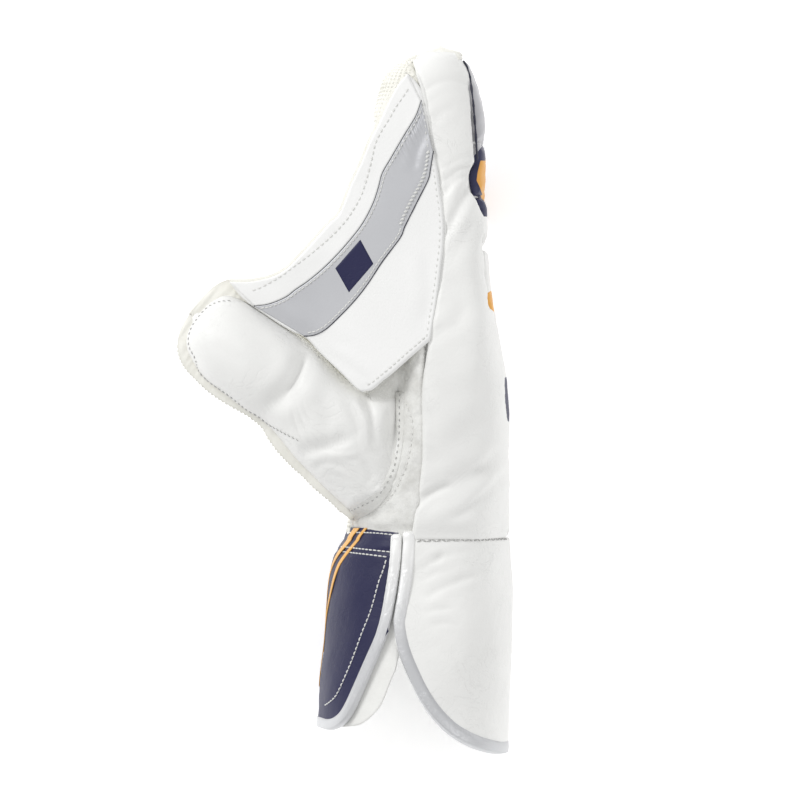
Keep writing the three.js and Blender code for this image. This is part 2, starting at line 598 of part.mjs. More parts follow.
// The cuff: two tongues of padded leather, white behind and navy in front, each bound round its edge.
const cuffRing = (outer, inner) => cuffForm(-outer).subtract(cuffForm(-inner));
function cuffCutter(edge, direction, inset) {
  const line = new THREE.CatmullRomCurve3(
    edge.map((p) => new THREE.Vector3(p.x * HAND_DEPTH, p.y * CUFF_LENGTH, 0)));
  const inside = stations(0, 1, 13).map((t) => {
    const at = line.getPoint(t);
    const dir = line.getTangent(t);
    return [at.x - direction * dir.y * inset, at.y + direction * dir.x * inset];
  });
  inside[0][1] = -GAP;
  const end = inside[inside.length - 1];
  return prism([...inside, [direction * FAR, end[1]], [direction * FAR, -GAP]], -1, FAR);
}
const cuffPanel = (edge, direction, outer, inner) =>
  cuffRing(outer, inner).intersect(cuffCutter(edge, direction, BINDING_WIDTH + GAP));
const cuffBinding = (edge, direction, outer, inner) =>
  cuffRing(outer, inner)
    .intersect(cuffCutter(edge, direction, 0))
    .subtract(cuffCutter(edge, direction, BINDING_WIDTH));
const cuffLining = cuffRing(PALM_CUFF_WALL + GAP, PALM_CUFF_WALL + GAP + CUFF_LINING)
  .intersect(cuffCutter(CUFF_LINING_EDGE, -1, 0));

const glove = new THREE.Group();

// Cutting can leave chips beside a piece: the piece itself is the largest body.
function largest(solid) {
  return solid.simplify(SMOOTHED).intersect(box(-FAR, FAR, -FAR, FAR, 0, FAR))
    .decompose().reduce((a, b) => (b.volume() > a.volume() ? b : a));
}

function addPiece(name, finish, solid) {
  const { vertProperties, triVerts } = largest(solid).getMesh();
  const geometry = new THREE.BufferGeometry();
  geometry.setAttribute('position', new THREE.BufferAttribute(new Float32Array(vertProperties), 3));
  geometry.setIndex(new THREE.BufferAttribute(new Uint32Array(triVerts), 1));
  geometry.computeVertexNormals();
  const mesh = new THREE.Mesh(geometry, new THREE.MeshStandardMaterial(FINISHES[finish]));
  mesh.name = name;
  glove.add(mesh);
}

addPiece('hand_shell', 'white', handShell);
addPiece('knuckle_wall', 'white', knuckleWall);
fingerStalls.forEach(({ name, finish, solid }) => addPiece(name, finish, solid));
addPiece('thumb_back', 'white', thumbBack);
addPiece('thumb_facing', 'rubber', thumbFacing);
addPiece('palm_facing', 'rubber', palmFacing);
addPiece('thumb_gusset', 'suede', gusset);
addPiece('side_panel', 'white', sidePanel);
addPiece('back_panel', 'white', backPanel);
backRolls.forEach(({ name, finish, solid }) => addPiece(name, finish, solid));
addPiece('web_plate', 'white', webPlate);
addPiece('web_rim_band', 'white', webRim);
addPiece('web_stripe', 'grey', webStripe);
addPiece('back_cuff', 'white', cuffPanel(BACK_CUFF_EDGE, 1, 0, CUFF_WALL));
addPiece('back_cuff_binding', 'silver',
  cuffBinding(BACK_CUFF_EDGE, 1, -BINDING_PROUD, CUFF_WALL + BINDING_PROUD));
addPiece('palm_cuff', 'navy', cuffPanel(PALM_CUFF_EDGE, -1, 0, PALM_CUFF_WALL));
addPiece('palm_cuff_binding', 'silver',
  cuffBinding(PALM_CUFF_EDGE, -1, -BINDING_PROUD, PALM_CUFF_WALL));
addPiece('palm_cuff_lining', 'white', cuffLining);

// The origin is the middle of the glove's footprint on the surface that it lies on.
const extent = new THREE.Box3().setFromObject(glove);
const middle = extent.getCenter(new THREE.Vector3());
glove.position.set(-middle.x, -middle.y, -extent.min.z);
const part = new THREE.Group();
part.add(glove);

export default part;
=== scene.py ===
"""Looks of a wicketkeeping glove: right hand, lying on its little-finger edge, thumb side up.

Lengths are millimetres in the glove's own frame: x grows from the palm to the back, with x = 0 inside
the hand, y = 0 is the wrist seam and z = 0 the surface that the glove lies on. side_view() turns points
of the side view, counted in squares of 0.47 mm from its top left corner, into that frame.
"""

import json
import math

import bpy
import numpy as np
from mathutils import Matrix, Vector
from mathutils.bvhtree import BVHTree

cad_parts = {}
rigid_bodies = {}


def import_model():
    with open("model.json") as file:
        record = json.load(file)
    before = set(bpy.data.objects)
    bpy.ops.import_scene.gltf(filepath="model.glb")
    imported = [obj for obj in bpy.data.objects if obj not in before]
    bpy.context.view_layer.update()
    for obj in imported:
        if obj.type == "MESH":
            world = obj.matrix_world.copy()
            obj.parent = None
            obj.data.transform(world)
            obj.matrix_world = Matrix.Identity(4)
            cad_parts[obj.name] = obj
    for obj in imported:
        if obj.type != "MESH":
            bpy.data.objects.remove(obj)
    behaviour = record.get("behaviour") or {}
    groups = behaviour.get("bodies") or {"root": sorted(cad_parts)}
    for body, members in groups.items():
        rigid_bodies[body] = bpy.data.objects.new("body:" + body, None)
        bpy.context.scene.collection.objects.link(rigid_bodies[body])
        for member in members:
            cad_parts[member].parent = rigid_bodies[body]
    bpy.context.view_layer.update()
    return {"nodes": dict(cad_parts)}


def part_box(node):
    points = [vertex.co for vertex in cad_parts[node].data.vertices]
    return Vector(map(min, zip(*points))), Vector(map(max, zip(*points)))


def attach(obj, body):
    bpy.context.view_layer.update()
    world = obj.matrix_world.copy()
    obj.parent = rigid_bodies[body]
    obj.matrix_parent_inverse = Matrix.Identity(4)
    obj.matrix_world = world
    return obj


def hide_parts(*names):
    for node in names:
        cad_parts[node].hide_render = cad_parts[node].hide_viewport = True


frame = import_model()

# Sizes, all but the pitch of the pimples as in the solids
HAND_LENGTH = 137.0
HAND_DEPTH = 72.0
HAND_BREADTH = 122.5
FINGER_PITCH = 31.0
FINGER_BREADTH = 28.0
FINGER_DEPTH = 44.0
FINGER_FOOT = FINGER_BREADTH / 2 + 1.5
LENGTHS = {"little": 64.0, "ring": 86.0, "middle": 92.8, "index": 90.5}
THUMB_LENGTH = 109.0
THUMB_BREADTH = 44.0
THUMB_THICKNESS = 40.0
THUMB_SLOPE = math.radians(37)
THUMB_ROOT = (-30.6, 42.3)
CUFF_LENGTH = 100.6
PRESSED = 1.5
RUBBER = 2.8
WEB_RISE = 127.4
WEB_FALL = math.tan(math.radians(9))
PIMPLE_PITCH = 2.3
# Share of the hand's depth that is on the palm side of x = 0 at the wrist
PALM_AT_WRIST = 0.645
# Powers of the rounded cross sections: 2 is an ellipse, more is squarer
FINGER_POWER = 2.6
HAND_POWER = 2.7
HAND_FOOT_POWER = 5.0
CUFF_POWER = 2.5
CUFF_FOOT_POWER = 4.5
THUMB_POWER = 2.3
RIM_POWER = 2.4
# Where the hand's cross section starts to turn into the finger's, and where it has done so
FINGER_START = HAND_LENGTH - 14
FINGER_FULL = HAND_LENGTH + 12
# How far above the floor the lowest points stay: of the drawn surfaces, and of the pieces
SURFACE_GAP = 0.02
PIECE_GAP = 0.03
# How far layers that are sewn together stand clear of each other
CLEAR = 0.3
# The side view: a square's size, the frame's x at its left edge, and the row of the wrist seam
SQUARE = 0.47
VIEW_LEFT = -211.35
WRIST_ROW = 540

hand_low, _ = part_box("hand_shell")
ORIGIN = np.array([hand_low[0] * 1000 + PALM_AT_WRIST * HAND_DEPTH, hand_low[1] * 1000, 0.0])


def side_view(points):
    """Points of the side view, in squares from its top left corner, as x and y of the frame."""
    p = np.asarray(points, float)
    return np.stack([p[..., 0] * SQUARE + VIEW_LEFT, (WRIST_ROW - p[..., 1]) * SQUARE], -1)


# Tables and curves

def columns(names, rows):
    """A table's columns by name."""
    return dict(zip(names.split(), np.array(rows, float).T))


def read(table, key, at):
    """A smooth curve through one column of a table."""
    xs, ys = table["along"], table[key]
    at = np.asarray(at, float)
    i = np.clip(np.searchsorted(xs, at, side="right") - 1, 0, len(xs) - 2)
    h = xs[i + 1] - xs[i]
    t = np.clip((at - xs[i]) / h, 0, 1)
    a, b = np.maximum(i - 1, 0), np.minimum(i + 2, len(xs) - 1)
    start = (ys[i + 1] - ys[a]) / (xs[i + 1] - xs[a]) * h
    end = (ys[b] - ys[i]) / (xs[b] - xs[i]) * h
    t2, t3 = t * t, t * t * t
    return (ys[i] * (2 * t3 - 3 * t2 + 1) + start * (t3 - 2 * t2 + t)
            + ys[i + 1] * (3 * t2 - 2 * t3) + end * (t3 - t2))


HAND = columns("along palm back top square", [
    (0.0, -0.645, 0.355, 0.87, 2.7), (0.2, -0.57, 0.352, 0.91, 2.7),
    (0.42, -0.42, 0.349, 0.965, 2.8), (0.59, -0.35, 0.32, 0.99, 3.2),
    (0.72, -0.33, 0.27, 1.0, 4.0), (0.85, -0.324, 0.23, 1.0, 5.0),
    (1.0, -0.324, 0.204, 1.0, 6.0)])
FINGER = columns("along palm back side", [
    (0.0, -0.545, 0.318, 1.0), (0.26, -0.6, 0.3, 1.0), (0.38, -0.63, 0.285, 0.96),
    (0.52, -0.68, 0.29, 1.0), (0.666, -0.734, 0.277, 0.99), (0.787, -0.68, 0.223, 0.97),
    (0.847, -0.627, 0.18, 0.94), (0.907, -0.5, 0.14, 0.88), (0.94, -0.37, 0.1, 0.8),
    (0.97, -0.27, 0.055, 0.66), (0.992, -0.16, -0.03, 0.4), (1.0, -0.1, -0.09, 0.06)])
THUMB = columns("along low high centre half", [
    (-0.098, -0.74, -0.66, 0.74, 0.98), (-0.088, -1.04, -0.38, 0.74, 0.98),
    (-0.075, -1.2, -0.14, 0.742, 1.0), (-0.057, -1.36, 0.07, 0.745, 1.02),
    (-0.03, -1.47, 0.33, 0.75, 1.04), (0.01, -1.46, 0.62, 0.76, 1.08),
    (0.1, -1.42, 1.18, 0.78, 1.16), (0.19, -1.36, 0.88, 0.79, 1.19),
    (0.3, -1.27, 0.72, 0.805, 1.16), (0.42, -1.12, 0.78, 0.82, 1.06),
    (0.5, -1.07, 0.86, 0.828, 1.02), (0.59, -1.1, 0.86, 0.836, 1.06),
    (0.7, -1.1, 0.8, 0.845, 1.08), (0.81, -1.08, 0.76, 0.85, 1.02),
    (0.9, -0.93, 0.7, 0.85, 0.88), (0.955, -0.76, 0.56, 0.85, 0.66),
    (0.985, -0.5, 0.24, 0.85, 0.4), (0.992, -0.3, -0.02, 0.85, 0.2)])
THUMB_RIM = columns("along low high", [
    (-0.07, -1.63, -0.3), (-0.011, -1.62, 0.9), (0.065, -1.58, 1.2), (0.145, -1.556, 1.1),
    (0.217, -1.505, 0.95), (0.293, -1.468, 0.9), (0.362, -1.404, 0.9), (0.424, -1.315, 0.95),
    (0.479, -1.2, 1.0), (0.558, -1.176, 1.0), (0.662, -1.241, 0.95), (0.755, -1.268, 0.93),
    (0.83, -1.23, 0.92), (0.9, -1.167, 0.92), (0.952, -1.04, 0.95), (0.985, -0.88, 0.86),
    (1.008, -0.68, 0.66), (1.022, -0.4, 0.36), (1.028, -0.1, 0.0)])
CUFF = columns("along palm back top", [
    (0.0, -0.685, 0.394, 0.885), (0.06, -0.742, 0.4, 0.887), (0.15, -0.775, 0.405, 0.89),
    (0.32, -0.797, 0.413, 0.905), (0.48, -0.812, 0.405, 0.915), (0.66, -0.843, 0.397, 0.925),
    (0.82, -0.856, 0.388, 0.93), (1.05, -0.865, 0.372, 0.935)])

# Lines of the side view
PANEL_PALM_EDGE = side_view([
    (412, 541), (412, 533), (414, 514), (418, 500), (419, 486), (422, 458), (423, 430), (423, 403),
    (424, 380), (427, 356), (430, 335), (432, 321), (435, 303), (438, 282), (440, 265), (442, 250),
    (443, 228), (442, 210), (439, 189), (437, 172), (434, 158), (430, 143), (428, 120), (426, 111),
    (424, 99), (421, 86), (417, 76), (415, 68), (418, 61), (428, 56)])
PANEL_BACK_EDGE = side_view([
    (508, 541), (507, 510), (506, 481), (501.5, 460), (501.5, 437), (499, 414), (497, 391),
    (497, 340), (493, 326), (491, 314), (486, 307), (485, 293), (483, 272), (481, 240), (483, 228),
    (481, 214), (477, 203), (472, 189), (471, 174), (475, 163), (474, 150), (473, 129), (472, 117),
    (471, 104), (469, 92), (468, 80), (466, 69), (463, 62), (456, 57)])
WEB_EDGE = side_view([
    (229, 282), (247, 282), (261, 280), (275, 276), (288, 268), (300, 256), (314, 241), (329, 224),
    (340, 213), (350, 188), (361, 164), (366, 152), (371, 140), (379, 124), (390, 100), (399, 84),
    (408, 74)])
WEB_SEAM = side_view([
    (408, 74), (419, 86), (424, 99), (428, 120), (431, 143), (435, 158), (438, 172), (440, 189),
    (443, 210), (444, 228), (443, 250), (441, 265), (439, 282), (436, 303), (433, 321), (430, 341)])
WEB_HEM = side_view([(430, 341), (410, 358), (392, 374), (383, 381), (372, 390), (362, 392)])
WEB_THUMB = side_view([
    (362, 392), (357, 389), (347, 379), (340, 372), (320, 353), (306, 338), (293, 332), (279, 324),
    (258, 310), (243, 299), (229, 282)])
STRIPE_UPPER = side_view([
    (421, 101), (419, 108), (415, 118), (404, 136), (390, 160), (382, 174), (378, 189), (372, 206),
    (361, 226), (345, 246), (331, 261), (321, 270.5), (312, 278), (304, 284), (295, 290),
    (286, 297), (269, 304), (254, 306)])
STRIPE_LOWER = side_view([
    (433, 152), (430, 170), (428, 180), (419, 198), (410, 216), (404, 228), (400, 238), (382, 262),
    (369, 282), (356, 299), (340, 316), (326, 329), (314, 335), (304, 336)])
FOLD_STITCH = side_view([
    (409, 88), (404, 96), (396, 107), (390, 118), (383, 129), (376, 142), (372, 159), (368, 175),
    (361, 196), (349, 217), (334, 234), (317, 249), (306, 258), (296, 265), (288, 271), (280, 277),
    (271, 282), (260, 288), (248, 292)])
THUMB_BASE = side_view([
    (399.5, 392), (399.5, 410), (399.5, 426), (398.6, 442), (396.5, 456), (394, 468), (390, 477),
    (386, 485), (382, 491), (376, 498), (370, 502), (361, 506), (350, 511)])
GUSSET_STITCH = side_view([
    (400, 393), (406, 405), (411, 416), (413, 428), (411.5, 440), (410.5, 448), (407, 463),
    (402, 476), (396, 489), (392, 495), (386, 502), (379, 508)])


def spline(points, step=1.0):
    """A smooth line through points, with a point about every step."""
    p = np.asarray(points, float)
    q = np.vstack([2 * p[0] - p[1], p, 2 * p[-1] - p[-2]])
    out = []
    for i in range(1, len(q) - 2):
        n = max(int(np.linalg.norm(q[i + 1] - q[i]) / step), 1)
        for t in np.arange(n) / n:
            out.append(0.5 * (2 * q[i] + (q[i + 1] - q[i - 1]) * t
                              + (2 * q[i - 1] - 5 * q[i] + 4 * q[i + 1] - q[i + 2]) * t ** 2
                              + (3 * q[i] - q[i - 1] - 3 * q[i + 1] + q[i + 2]) * t ** 3))
    return np.array(out + [p[-1]])


def resample(line, count):
    """The same line with its points evenly spaced."""
    gaps = np.linalg.norm(np.diff(line, axis=0), axis=1)
    s = np.concatenate([[0], np.cumsum(gaps)])
    at = np.linspace(0, s[-1], count)
    return np.stack([np.interp(at, s, line[:, k]) for k in range(line.shape[1])], -1)


def length_of(line):
    """Length of a line of points."""
    return float(np.linalg.norm(np.diff(line, axis=0), axis=1).sum())


def edge_at(edge, y):
    """x of an edge of the side view at each y."""
    line = spline(edge, 0.8)
    order = np.argsort(line[:, 1])
    return np.interp(y, line[order, 1], line[order, 0])


def ease(a, b, v):
    """Goes smoothly from 0 at a to 1 at b."""
    t = np.clip((v - a) / (b - a), 0, 1)
    return t * t * (3 - 2 * t)


def ripple(p, size, seed, count=9):
    """A slow, uneven swell over points, mostly between -1 and 1."""
    r = np.random.default_rng(seed)
    total = 0
    for _ in range(count):
        k = r.normal(size=p.shape[-1]) * 2 * math.pi / size
        total = total + np.sin(p @ k + r.uniform(0, 6.3))
    return total / math.sqrt(count) / 1.5


def folds(xy, strokes):
    """How far strokes (line in the side view, depth, width) push in at points of the side view."""
    out = np.zeros(xy.shape[:-1])
    flat = xy.reshape(-1, 2)
    for points, depth, width in strokes:
        line = spline(side_view(points), min(1.5, 0.35 * width))
        lo, hi = line.min(0) - 4 * width, line.max(0) + 4 * width
        near = np.where(np.all((flat > lo) & (flat < hi), axis=1))[0]
        if not len(near):
            continue
        d2 = ((flat[near, None, :] - line[None]) ** 2).sum(-1)
        t = d2.argmin(1) / max(len(line) - 1, 1)
        d = np.sqrt(d2.min(1))
        taper = ease(0, 0.3, np.minimum(t, 1 - t) + 0.06)
        lift = 0.4 * np.exp(-((d - 2.0 * width) / (1.1 * width)) ** 2)
        out.ravel()[near] += depth * taper * (lift - np.exp(-(d / width) ** 2))
    return out


# Surfaces

def arc(turn, power):
    """A point, for each turn, of a round of the given power that reaches 1 each way."""
    c, s = np.cos(turn), np.sin(turn)
    return np.sign(c) * np.abs(c) ** (2 / power), np.sign(s) * np.abs(s) ** (2 / power)


def stack(x, y, z):
    """Points from three numbers or grids of numbers."""
    return np.stack(np.broadcast_arrays(x, y, z), -1)


def hand_sizes(y, grow=0.0):
    """Palm side, back, top and power of the hand's cross section at y."""
    at = np.clip(y / HAND_LENGTH, 0, 1)
    return (read(HAND, "palm", at) * HAND_DEPTH - grow, read(HAND, "back", at) * HAND_DEPTH + grow,
            read(HAND, "top", at) * HAND_BREADTH + grow, read(HAND, "square", at))


def hand_surface(y, turn, grow=0.0):
    """The hand's skin; turn runs round it from the back, over the thumb side to the palm."""
    palm, back, top, square = hand_sizes(y, grow)
    foot = -grow if grow < 0 else -PRESSED
    a, b = arc(turn, np.where(np.sin(turn) < 0, HAND_FOOT_POWER, square))
    return stack((palm + back) / 2 + a * (back - palm) / 2, y,
                 np.maximum((foot + top) / 2 + b * (top - foot) / 2, SURFACE_GAP))


def finger_sizes(s, g_palm=0.0, g_back=0.0):
    """Palm side and back of a finger at the share s of its length."""
    return (read(FINGER, "palm", s) * FINGER_DEPTH - g_palm,
            read(FINGER, "back", s) * FINGER_DEPTH + g_back)


def finger_surface(name, s, turn, g_palm=0.0, g_side=0.0, g_back=0.0):
    """A finger's skin, grown by so much on its palm side, at its sides and on its back."""
    place = list(LENGTHS).index(name)
    palm, back = finger_sizes(s, g_palm, g_back)
    close = ease(1.0, 0.97, s)
    middle = (palm + back) / 2
    half_x = (back - palm) / 2 * (0.25 + 0.75 * close) if g_palm else (back - palm) / 2
    half_z = read(FINGER, "side", s) * FINGER_BREADTH / 2 + g_side
    a, b = arc(turn, FINGER_POWER)
    y = HAND_LENGTH + s * (LENGTHS[name] + max(g_palm, g_back))
    return stack(middle + a * half_x, y, FINGER_FOOT + place * FINGER_PITCH + b * half_z)


def side_surface(y, a):
    """The thumb side of the hand and index finger; a runs from -1, palm, to 1, back."""
    s = np.clip((y - HAND_LENGTH) / LENGTHS["index"], 0, 1)
    palm_h, back_h, top, square = hand_sizes(y)
    palm_f, back_f = finger_sizes(s)
    half = read(FINGER, "side", s) * FINGER_BREADTH / 2
    w = ease(FINGER_START, FINGER_FULL, y)
    aa = np.minimum(np.abs(a), 1)
    z_h = (top - PRESSED) / 2 + (top + PRESSED) / 2 * (1 - aa ** square) ** (1 / square)
    z_f = FINGER_FOOT + 3 * FINGER_PITCH + half * (1 - aa ** FINGER_POWER) ** (1 / FINGER_POWER)
    palm, back = palm_h * (1 - w) + palm_f * w, back_h * (1 - w) + back_f * w
    return stack((palm + back) / 2 + a * (back - palm) / 2, y, z_h * (1 - w) + z_f * w)


def side_share(x, y):
    """The a of side_surface at x."""
    w = ease(FINGER_START, FINGER_FULL, y)
    palm_h, back_h, _, _ = hand_sizes(y)
    palm_f, back_f = finger_sizes(np.clip((y - HAND_LENGTH) / LENGTHS["index"], 0, 1))
    palm, back = palm_h * (1 - w) + palm_f * w, back_h * (1 - w) + back_f * w
    return (x - (palm + back) / 2) / ((back - palm) / 2)


THUMB_AXIS = np.array([-math.cos(THUMB_SLOPE), math.sin(THUMB_SLOPE)])
THUMB_SIDE = np.array([math.sin(THUMB_SLOPE), math.cos(THUMB_SLOPE)])


def thumb_xy(along, across):
    """x and y from shares of the thumb's length and half breadth."""
    xy = (np.array(THUMB_ROOT) + np.multiply.outer(along * THUMB_LENGTH, THUMB_AXIS)
          + np.multiply.outer(across * THUMB_BREADTH / 2, THUMB_SIDE))
    return xy


def cuff_surface(y, turn, grow=0.0):
    """The cuff's outer skin, as one tube; the tongues are parts of it."""
    at = -y / CUFF_LENGTH
    palm = read(CUFF, "palm", at) * HAND_DEPTH - grow
    back = read(CUFF, "back", at) * HAND_DEPTH + grow
    top = read(CUFF, "top", at) * HAND_BREADTH + grow
    foot = -grow if grow < 0 else -PRESSED
    a, b = arc(turn, np.where(np.sin(turn) < 0, CUFF_FOOT_POWER, CUFF_POWER))
    return stack((palm + back) / 2 + a * (back - palm) / 2, y,
                 np.maximum((foot + top) / 2 + b * (top - foot) / 2, SURFACE_GAP))


CUFF_CORE = np.array([-14, 0, 54])


def cuff_ups(y, turn, grow=0.0):
    """Directions straight out of the cuff."""
    step = 1e-3
    here = cuff_surface(y, turn, grow)
    up = np.cross(cuff_surface(y, turn + step, grow) - here, cuff_surface(y + step, turn, grow) - here)
    up = up / np.maximum(np.linalg.norm(up, axis=-1, keepdims=True), 1e-12)
    out = (here - CUFF_CORE) * [1, 0, 1]
    return up * np.sign((up * out).sum(-1, keepdims=True))


WEB_TOP_X = -4.5


def web_height(xy, lift=0.0):
    """The web's slope: WEB_RISE high at WEB_TOP_X and lower towards the thumb."""
    return WEB_RISE + lift + (xy[..., 0] - WEB_TOP_X) * WEB_FALL


# Materials

def group(name, inputs, outputs):
    """A node group with its sockets, and its input and output nodes."""
    tree = bpy.data.node_groups.new(name, "ShaderNodeTree")
    for label, kind, value in inputs:
        socket = tree.interface.new_socket(label, in_out="INPUT", socket_type=kind)
        socket.default_value = value
    for label, kind in outputs:
        tree.interface.new_socket(label, in_out="OUTPUT", socket_type=kind)
    return tree, tree.nodes.new("NodeGroupInput"), tree.nodes.new("NodeGroupOutput")


def node(tree, kind, links=(), **settings):
    """A node with its links; in_ before a name or number sets that input."""
    made = tree.nodes.new(kind)
    for key, value in settings.items():
        if key.startswith("in_"):
            name = key[3:]
            made.inputs[int(name) if name.isdigit() else name.replace("_", " ")].default_value = value
        else:
            setattr(made, key, value)
    for name, source in links:
        tree.links.new(source, made.inputs[name])
    return made


def skin_group():
    """Leather skin: grain cells, fine creases, slow changes of tone, and painted shade that darkens its
    hollows and seams.
    """
    t, gi, go = group("leather_skin", [
        ("Color", "NodeSocketColor", (0.8, 0.8, 0.8, 1)), ("Shade", "NodeSocketColor", (0.6, 0.6, 0.6, 1)),
        ("Grain Size", "NodeSocketFloat", 900.0), ("Grain Depth", "NodeSocketFloat", 0.3),
        ("Crease Depth", "NodeSocketFloat", 0.5), ("Crease Size", "NodeSocketFloat", 70.0),
        ("Roughness", "NodeSocketFloat", 0.5)],
        [("Color", "NodeSocketColor"), ("Roughness", "NodeSocketFloat"), ("Normal", "NodeSocketVector")])
    at = node(t, "ShaderNodeTexCoord").outputs["Object"]
    grain = node(t, "ShaderNodeTexVoronoi", [("Vector", at), ("Scale", gi.outputs["Grain Size"])],
                 feature="SMOOTH_F1", in_Smoothness=0.6)
    fine = node(t, "ShaderNodeTexNoise", [("Vector", at)], in_Scale=2600.0, in_Detail=2.0)
    crease = node(t, "ShaderNodeTexNoise", [("Vector", at), ("Scale", gi.outputs["Crease Size"])],
                  in_Detail=4.0, in_Roughness=0.55, in_Distortion=1.6)
    ridge = node(t, "ShaderNodeMath", [(0, crease.outputs["Fac"])], operation="SUBTRACT", in_1=0.5)
    ridge = node(t, "ShaderNodeMath", [(0, ridge.outputs[0])], operation="ABSOLUTE")
    ridge = node(t, "ShaderNodeMapRange", [(0, ridge.outputs[0])], in_1=0.0, in_2=0.045, in_3=0.0, in_4=1.0,
                 interpolation_type="SMOOTHSTEP")
    patch = node(t, "ShaderNodeTexNoise", [("Vector", at)], in_Scale=32.0, in_Detail=3.0)
    where = node(t, "ShaderNodeMapRange", [(0, patch.outputs["Fac"])], in_1=0.42, in_2=0.62)
    depth = node(t, "ShaderNodeMath", [(0, where.outputs[0]), (1, gi.outputs["Crease Depth"])],
                 operation="MULTIPLY")
    line = node(t, "ShaderNodeMath", [(0, ridge.outputs[0]), (1, depth.outputs[0])], operation="MULTIPLY")
    cells = node(t, "ShaderNodeMath", [(0, grain.outputs["Distance"]), (1, gi.outputs["Grain Depth"])],
                 operation="MULTIPLY")
    height = node(t, "ShaderNodeMath", [(0, line.outputs[0]), (1, cells.outputs[0])], operation="ADD")
    speck = node(t, "ShaderNodeMath", [(0, fine.outputs["Fac"])], operation="MULTIPLY", in_1=0.12)
    height = node(t, "ShaderNodeMath", [(0, height.outputs[0]), (1, speck.outputs[0])], operation="ADD")
    bump = node(t, "ShaderNodeBump", [("Height", height.outputs[0])], in_Strength=0.55, in_Distance=0.00045)
    tone = node(t, "ShaderNodeTexNoise", [("Vector", at)], in_Scale=18.0, in_Detail=4.0)
    tone = node(t, "ShaderNodeMapRange", [(0, tone.outputs["Fac"])], in_1=0.35, in_2=0.75, in_4=0.35)
    mixed = node(t, "ShaderNodeMix", [("Factor", tone.outputs[0])], data_type="RGBA")
    t.links.new(gi.outputs["Color"], mixed.inputs[6])
    t.links.new(gi.outputs["Shade"], mixed.inputs[7])
    # Painted shade: the colour goes towards Shade where the surface is hollow, in creases and seams.
    hollow = node(t, "ShaderNodeNewGeometry").outputs["Pointiness"]
    hollow_shade = node(t, "ShaderNodeMapRange", [(0, hollow)], in_1=0.5, in_2=0.44, in_3=0.0, in_4=0.55)
    final = node(t, "ShaderNodeMix", [("Factor", hollow_shade.outputs[0]), (6, mixed.outputs[2])], data_type="RGBA")
    t.links.new(gi.outputs["Shade"], final.inputs[7])
    rough = node(t, "ShaderNodeMath", [(0, patch.outputs["Fac"])], operation="MULTIPLY_ADD", in_1=0.16)
    t.links.new(gi.outputs["Roughness"], rough.inputs[2])
    t.links.new(final.outputs[2], go.inputs["Color"])
    t.links.new(rough.outputs[0], go.inputs["Roughness"])
    t.links.new(bump.outputs[0], go.inputs["Normal"])
    return t


def nap_group():
    """Suede, cloth or moulded rubber: fine nap and mottled tone."""
    t, gi, go = group("fine_nap", [
        ("Color", "NodeSocketColor", (0.8, 0.8, 0.8, 1)), ("Shade", "NodeSocketColor", (0.6, 0.6, 0.6, 1)),
        ("Nap Size", "NodeSocketFloat", 1500.0), ("Nap Depth", "NodeSocketFloat", 0.6),
        ("Mottle", "NodeSocketFloat", 0.5)],
        [("Color", "NodeSocketColor"), ("Normal", "NodeSocketVector")])
    at = node(t, "ShaderNodeTexCoord").outputs["Object"]
    nap = node(t, "ShaderNodeTexNoise", [("Vector", at), ("Scale", gi.outputs["Nap Size"])],
               in_Detail=3.0, in_Roughness=0.65)
    blot = node(t, "ShaderNodeTexNoise", [("Vector", at)], in_Scale=95.0, in_Detail=5.0, in_Roughness=0.7)
    blot = node(t, "ShaderNodeMapRange", [(0, blot.outputs["Fac"])], in_1=0.4, in_2=0.72)
    amount = node(t, "ShaderNodeMath", [(0, blot.outputs[0]), (1, gi.outputs["Mottle"])],
                  operation="MULTIPLY")
    mixed = node(t, "ShaderNodeMix", [("Factor", amount.outputs[0])], data_type="RGBA")
    t.links.new(gi.outputs["Color"], mixed.inputs[6])
    t.links.new(gi.outputs["Shade"], mixed.inputs[7])
    bump = node(t, "ShaderNodeBump", [("Height", nap.outputs["Fac"]), ("Strength", gi.outputs["Nap Depth"])],
                in_Distance=0.0004)
    t.links.new(mixed.outputs[2], go.inputs["Color"])
    t.links.new(bump.outputs[0], go.inputs["Normal"])
    return t


SKIN, NAP = skin_group(), nap_group()


def linear(r, g, b):
    """A colour given as it looks on screen, 0 to 255, as light."""
    return tuple(((v / 255 + 0.055) / 1.055) ** 2.4 if v > 10 else v / 3295 for v in (r, g, b)) + (1.0,)


def material(name, tree_group, values, **shader):
    """A material whose colour and normal come from a node group."""
    made = bpy.data.materials.new(name)
    made.use_nodes = True
    t = made.node_tree
    principled = t.nodes["Principled BSDF"]
    used = node(t, "ShaderNodeGroup", node_tree=tree_group)
    for key, value in values.items():
        used.inputs[key].default_value = value
    t.links.new(used.outputs["Color"], principled.inputs["Base Color"])
    t.links.new(used.outputs["Normal"], principled.inputs["Normal"])
    if "Roughness" in used.outputs:
        t.links.new(used.outputs["Roughness"], principled.inputs["Roughness"])
    for key, value in shader.items():
        principled.inputs[key.replace("_", " ")].default_value = value
    return made


def leather(name, colour, shade, rough=0.42, grain=0.3, size=900.0, crease=0.5, creases=70.0, **shader):
    return material(name, SKIN, {"Color": linear(*colour), "Shade": linear(*shade), "Roughness": rough,
                                 "Grain Depth": grain, "Grain Size": size, "Crease Depth": crease,
                                 "Crease Size": creases}, **shader)


def nap(name, colour, shade, size=1500.0, depth=0.6, mottle=0.5, **shader):
    return material(name, NAP, {"Color": linear(*colour), "Shade": linear(*shade), "Nap Size": size,
                                "Nap Depth": depth, "Mottle": mottle}, **shader)


WHITE_TONES = ((240, 240, 238), (214, 214, 212))
GREY_TONES = ((190, 190, 193), (168, 168, 172))
NAVY_TONES = ((36, 38, 74), (28, 30, 60))
ORANGE_TONES = ((232, 170, 78), (205, 140, 56))


